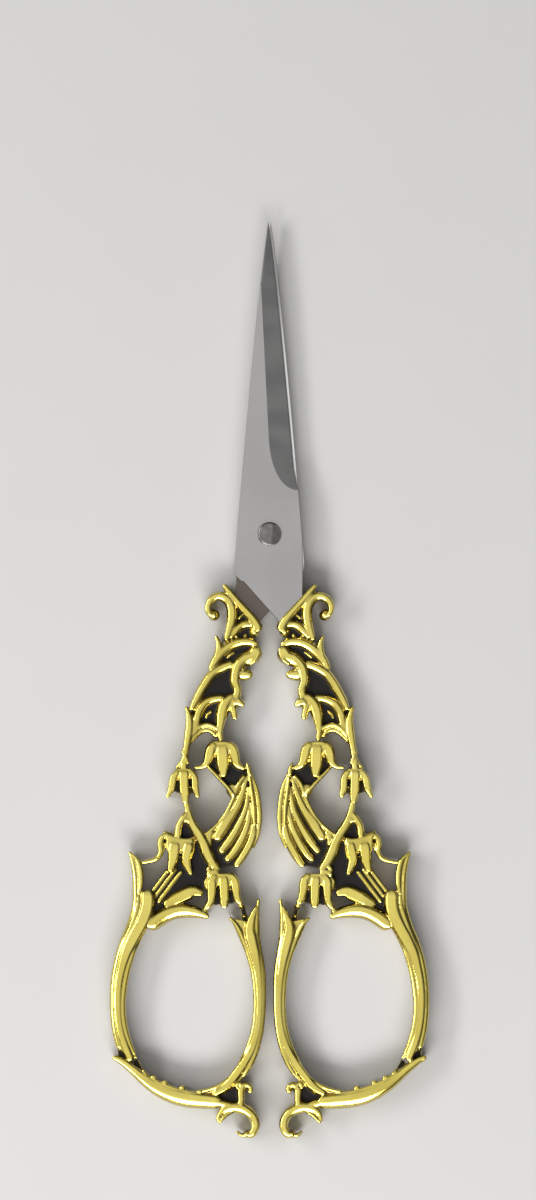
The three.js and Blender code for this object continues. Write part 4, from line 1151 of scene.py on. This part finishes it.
whole_blade = blade_mesh()
print("blade before the hole:", len(whole_blade.polygons), "faces")

# %% Hole for the rivet
BORE_RADIUS = 1.55
BORE_SIDES = 64
DRILL_LENGTH = 4 * BLADE_THICKNESS
BLADE_CREASE = math.radians(8)


def bored(mesh):
    """The blade with a round hole for the rivet."""
    shell = bmesh.new()
    bmesh.ops.create_cone(shell, cap_ends=True, segments=BORE_SIDES, radius1=BORE_RADIUS * MM,
                          radius2=BORE_RADIUS * MM, depth=DRILL_LENGTH * MM)
    drill = new_object("drill", mesh_of(shell, "drill"))
    blade = new_object("blade", mesh)
    cut = blade.modifiers.new("bore", "BOOLEAN")
    cut.operation = "DIFFERENCE"
    cut.solver = "EXACT"
    cut.object = drill
    bored_mesh = evaluated_mesh(blade)
    bpy.data.objects.remove(drill)
    bored_mesh.shade_smooth()
    bored_mesh.set_sharp_from_angle(angle=BLADE_CREASE)
    return bored_mesh


bored_blade = bored(whole_blade)
print("blade with the hole:", len(bored_blade.polygons), "faces")

# %% [markdown]
# ## Ground steel
# The flat of a blade has a satin polish along its length. The ground face is duller, with fine lines and
# broader bands across it from the wheel, and its colour is darker: partly for the ground finish and partly
# as painted shade, as that face tilts away from the light. The foot of the underside has a painted shadow in
# dark brown, and the strip beside the other blade's edge a painted highlight. All of it is one finish: two
# stretched noises, one along Y and one along X, mixed by the `ground` value of the mesh, change the
# roughness and give a very shallow bump.

# %% Steel finish
STEEL = (0.48, 0.47, 0.465, 1)
DARK_STEEL = (0.44, 0.43, 0.425, 1)
# The ground face is darker than the flat, partly for its finish and partly as painted shade.
SHADED_GROUND_STEEL = (0.335, 0.335, 0.33, 1)
SHADED_BANDED_STEEL = (0.275, 0.275, 0.272, 1)
# Colour of the painted highlight on the underside's spine strip.
HIGHLIGHT_STEEL = (0.95, 0.94, 0.93, 1)
# Dark brown of the painted shadow on the underside's foot.
SHADOW_STEEL = (0.17, 0.14, 0.122, 1)
MARK_SCALE = 2600
ALONG = (1, 0.03, 1)
ACROSS = (0.04, 1, 1)
STEEL_DETAIL = 4
STEEL_CLOUD_SCALE = 90
BAND_SCALE = 260
BAND_STRETCH = (0.25, 1, 1)
BAND_BORDER = (0.35, 0.65)
FLAT_ROUGHNESS = 0.24
GROUND_ROUGHNESS = 0.30
STEEL_MARKS = 0.14
STEEL_CLOUDING = 0.05
STEEL_BUMP = 0.10
STEEL_BUMP_DEPTH = 0.03 * MM


def steel_finish():
    material, sheet = new_finish("ground steel")
    ground = mesh_value(sheet, "ground")
    along = noise(sheet, MARK_SCALE, STEEL_DETAIL, ALONG)
    across = noise(sheet, MARK_SCALE, STEEL_DETAIL, ACROSS)
    cloud = noise(sheet, STEEL_CLOUD_SCALE, STEEL_DETAIL)
    bands = noise(sheet, BAND_SCALE, stretch=BAND_STRETCH)
    marks = mix_value(sheet, ground, along, across)
    flat = mix_colour(sheet, ramp(sheet, cloud, *CLOUD_BORDER), STEEL, DARK_STEEL)
    wheel = mix_colour(sheet, ramp(sheet, bands, *BAND_BORDER), SHADED_GROUND_STEEL, SHADED_BANDED_STEEL)
    # The ground face is painted darker: partly its finish, partly painted shade.
    colour = mix_colour(sheet, ground, flat, wheel)
    # Painted shadow on the foot of the underside.
    colour = mix_colour(sheet, mesh_value(sheet, "painted_shadow"), colour, SHADOW_STEEL)
    # Painted highlight on the strip along the spine.
    colour = mix_colour(sheet, mesh_value(sheet, "painted_highlight"), colour, HIGHLIGHT_STEEL)
    rough = mix_value(sheet, ground, FLAT_ROUGHNESS, GROUND_ROUGHNESS)
    close_finish(sheet, {
        "Base Color": colour,
        "Metallic": 1.0,
        "Roughness": rough + marks * STEEL_MARKS + cloud * STEEL_CLOUDING,
        "Normal": bump(sheet, STEEL_BUMP, STEEL_BUMP_DEPTH, marks),
    })
    return material


ground_steel = steel_finish()
print("finish:", ground_steel.name)

# %% [markdown]
# ## Front and rear blade
# The rear blade is the front one turned over, as with the handles. A blade was drawn with its underside at
# height 0, so it is first lifted to its place just above the middle plane.

# %% Both blades
blade_lift = blade_low.z - middle_plane
front_steel = placed("front_steel", bored_blade, ground_steel, False, blade_lift)
rear_steel = placed("rear_steel", bored_blade, ground_steel, True, blade_lift)
for piece, node, body in [(front_steel, "front_blade", "front_half"),
                          (rear_steel, "rear_blade", "rear_half")]:
    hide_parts(node)
    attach(piece, body)
print("blades:", front_steel.name, "and", rear_steel.name)

# %% [markdown]
# ## Pivot rivet
# The rivet is turned steel with a low domed head at each end and a small ground flat. A profile that is spun
# about its axis is the way it was made, so that is how it is modelled: rows of (radius, height), one ring for
# each.

# %% Rivet shape
RIVET_SEGMENTS = 64
SHANK_RADIUS = 1.5
HEAD_RADIUS = 1.9
HEAD_SEAT = 1.5
HEAD_TOP = 2.1
RIM_ROUND = 0.06
DOME_FOOT = HEAD_SEAT + 0.15
DOME_STEPS = 9
FLAT_RADIUS = 1.55
CROWN_SHARES = (0.85, 0.7, 0.55, 0.4, 0.33)
FACET_FROM = 0.4
FACET_TURN = 0.1
FACET_SLOPE = 0.3
RIVET_CREASE = math.radians(12)


def rivet_profile():
    """Points (radius, height) from the middle plane to the top of the head."""
    rim = [(HEAD_RADIUS - RIM_ROUND, HEAD_SEAT), (HEAD_RADIUS, HEAD_SEAT + RIM_ROUND)]
    dome = []
    for turn in np.linspace(0, math.pi / 2, DOME_STEPS):
        radius = FLAT_RADIUS + (HEAD_RADIUS - FLAT_RADIUS) * math.cos(turn)
        dome.append((radius, DOME_FOOT + (HEAD_TOP - DOME_FOOT) * math.sin(turn)))
    crown = [(FLAT_RADIUS * share, HEAD_TOP) for share in CROWN_SHARES]
    return [(SHANK_RADIUS, 0), (SHANK_RADIUS, HEAD_SEAT), *rim, *dome, *crown]


def rivet_mesh():
    """The profile and its mirror image spun about the axis, with one facet ground into the upper head."""
    upper = rivet_profile()
    profile = [(radius, -height) for radius, height in upper[:0:-1]] + upper
    turns = np.linspace(0, 2 * math.pi, RIVET_SEGMENTS, endpoint=False)
    shell = bmesh.new()
    rings = []
    for radius, height in profile:
        ring = []
        for x, y in zip(radius * np.cos(turns), radius * np.sin(turns)):
            ceiling = HEAD_TOP - FACET_SLOPE * max(0, x - FACET_TURN * y - FACET_FROM)
            ring.append(shell.verts.new((x * MM, y * MM, min(height, ceiling) * MM + middle_plane)))
        rings.append(ring)
    bridge(shell, rings)
    shell.faces.new(rings[0][::-1])
    shell.faces.new(rings[-1])
    bmesh.ops.recalc_face_normals(shell, faces=shell.faces)
    mesh = mesh_of(shell, "rivet")
    mesh.shade_smooth()
    mesh.set_sharp_from_angle(angle=RIVET_CREASE)
    return mesh


rivet = new_object("rivet", rivet_mesh())
print("rivet:", len(rivet.data.polygons), "faces")

# %% [markdown]
# ## Rivet steel
# The rivet is a darker, cloudy steel. Its small marks run in no direction, so plain noises are enough.

# %% Rivet finish
RIVET_STEEL = (0.265, 0.256, 0.247, 1)
DARK_RIVET = (0.18, 0.175, 0.166, 1)
RIVET_GRAIN_SCALE = 1500
RIVET_DETAIL = 4
RIVET_CLOUD_SCALE = 900
RIVET_BORDER = (0.35, 0.7)
RIVET_ROUGHNESS = 0.26
RIVET_MARKS = 0.14
RIVET_BUMP = 0.15
RIVET_BUMP_DEPTH = 0.03 * MM


def rivet_finish():
    material, sheet = new_finish("rivet steel")
    grain = noise(sheet, RIVET_GRAIN_SCALE, RIVET_DETAIL)
    clouded = ramp(sheet, noise(sheet, RIVET_CLOUD_SCALE), *RIVET_BORDER)
    close_finish(sheet, {
        "Base Color": mix_colour(sheet, clouded, RIVET_STEEL, DARK_RIVET),
        "Metallic": 1.0,
        "Roughness": RIVET_ROUGHNESS + grain * RIVET_MARKS,
        "Normal": bump(sheet, RIVET_BUMP, RIVET_BUMP_DEPTH, grain),
    })
    return material


rivet.data.materials.append(rivet_finish())
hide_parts("pivot_rivet")
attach(rivet, "front_half")
print("finish:", rivet.data.materials[0].name)

# %% [markdown]
# ## Floor, light and camera
# The scissors lie on a plain pale floor. Polished metal shows what is around it, so the light is a sky that
# isn't even: brighter overhead, which fills the flats, and darker on the right and beyond the tips, which
# makes the ground face of the blade darker than its flat. Two soft panels, one beyond the foot and one on the
# left, draw the white lines along the bevels.

# %% Floor and world
PALE = (0.53, 0.524, 0.514, 1)
PALE_SPECKLE = (0.515, 0.509, 0.5, 1)
SPECKLE_SCALE = 60
FLOOR_ROUGHNESS = 0.85
FLOOR_REACH = 3.0
FLOOR_DROP = -0.02 * MM
SKY_STRENGTH = 0.46
OVERHEAD_GAIN = 0.38
RIGHT_LOSS = 0.38
TIPS_LOSS = 0.25
DARKEST = 0.06


def floor_finish():
    material, sheet = new_finish("pale floor")
    colour = mix_colour(sheet, noise(sheet, SPECKLE_SCALE), PALE, PALE_SPECKLE)
    close_finish(sheet, {"Base Color": colour, "Roughness": FLOOR_ROUGHNESS})
    return material


floor_mesh = bpy.data.meshes.new("floor")
corners = [(x * FLOOR_REACH, y * FLOOR_REACH, FLOOR_DROP) for x, y in [(-1, -1), (1, -1), (1, 1), (-1, 1)]]
floor_mesh.from_pydata(corners, [], [(0, 1, 2, 3)])
floor_mesh.materials.append(floor_finish())
floor = new_object("floor", floor_mesh)

world = bpy.data.worlds.new("studio")
world.use_nodes = True
world.node_tree.nodes.clear()
sky = Sheet(world.node_tree)
direction = sky.add("ShaderNodeTexCoord", output="Generated")
towards = sky.add("ShaderNodeSeparateXYZ", None, {0: direction})
right = ramp(sky, towards.output("X"), 0.0, 0.5)
overhead = ramp(sky, towards.output("Z"), 0.3, 0.95)
tips = ramp(sky, towards.output("Y"), 0.0, 0.5)
strength = SKY_STRENGTH + overhead * OVERHEAD_GAIN - right * RIGHT_LOSS - tips * TIPS_LOSS
strength = strength.maths("MAXIMUM", strength, DARKEST)
sky_light = sky.add("ShaderNodeBackground", None, {"Color": (1, 1, 1, 1), "Strength": strength})
sky.add("ShaderNodeOutputWorld", None, {"Surface": sky_light})
bpy.context.scene.world = world
brightest = round(SKY_STRENGTH + OVERHEAD_GAIN, 2)
print("floor", 2 * FLOOR_REACH, "m wide, sky strength from", DARKEST, "to", brightest)


# %% Soft panels
def panel(name, place, size, power):
    """A soft rectangular panel that faces the middle of the scissors."""
    light = bpy.data.lights.new(name, "AREA")
    light.shape = "RECTANGLE"
    light.size, light.size_y = size
    light.energy = power
    lamp = new_object(name, light)
    lamp.location = place
    target = (cad_low + cad_high) / 2
    lamp.rotation_euler = (target - lamp.location).to_track_quat("-Z", "Y").to_euler()
    print("panel:", name, power, "W")


panel("low strip", (-0.1, -0.7, 0.55), (0.9, 0.26), 8)
panel("left strip", (-0.75, 0.1, 0.55), (0.8, 0.2), 5)

# %% Camera
PIXELS_HIGH = 1200
PIXELS_PER_MM = 6.28
FRAME_HEIGHT = PIXELS_HIGH / PIXELS_PER_MM * MM
FRAME_CENTRE = (-0.24 * MM, -10.5 * MM)
CAMERA_HEIGHT = 1.5
SENSOR_WIDTH = 36

lens = bpy.data.cameras.new("camera")
lens.sensor_width = SENSOR_WIDTH
lens.lens = SENSOR_WIDTH * CAMERA_HEIGHT / FRAME_HEIGHT
camera = new_object("camera", lens)
camera.location = (*FRAME_CENTRE, middle_plane + CAMERA_HEIGHT)
bpy.context.scene.camera = camera
bpy.context.scene.view_settings.view_transform = "Standard"
print("camera", CAMERA_HEIGHT, "m above the scissors with a", round(lens.lens), "mm lens")
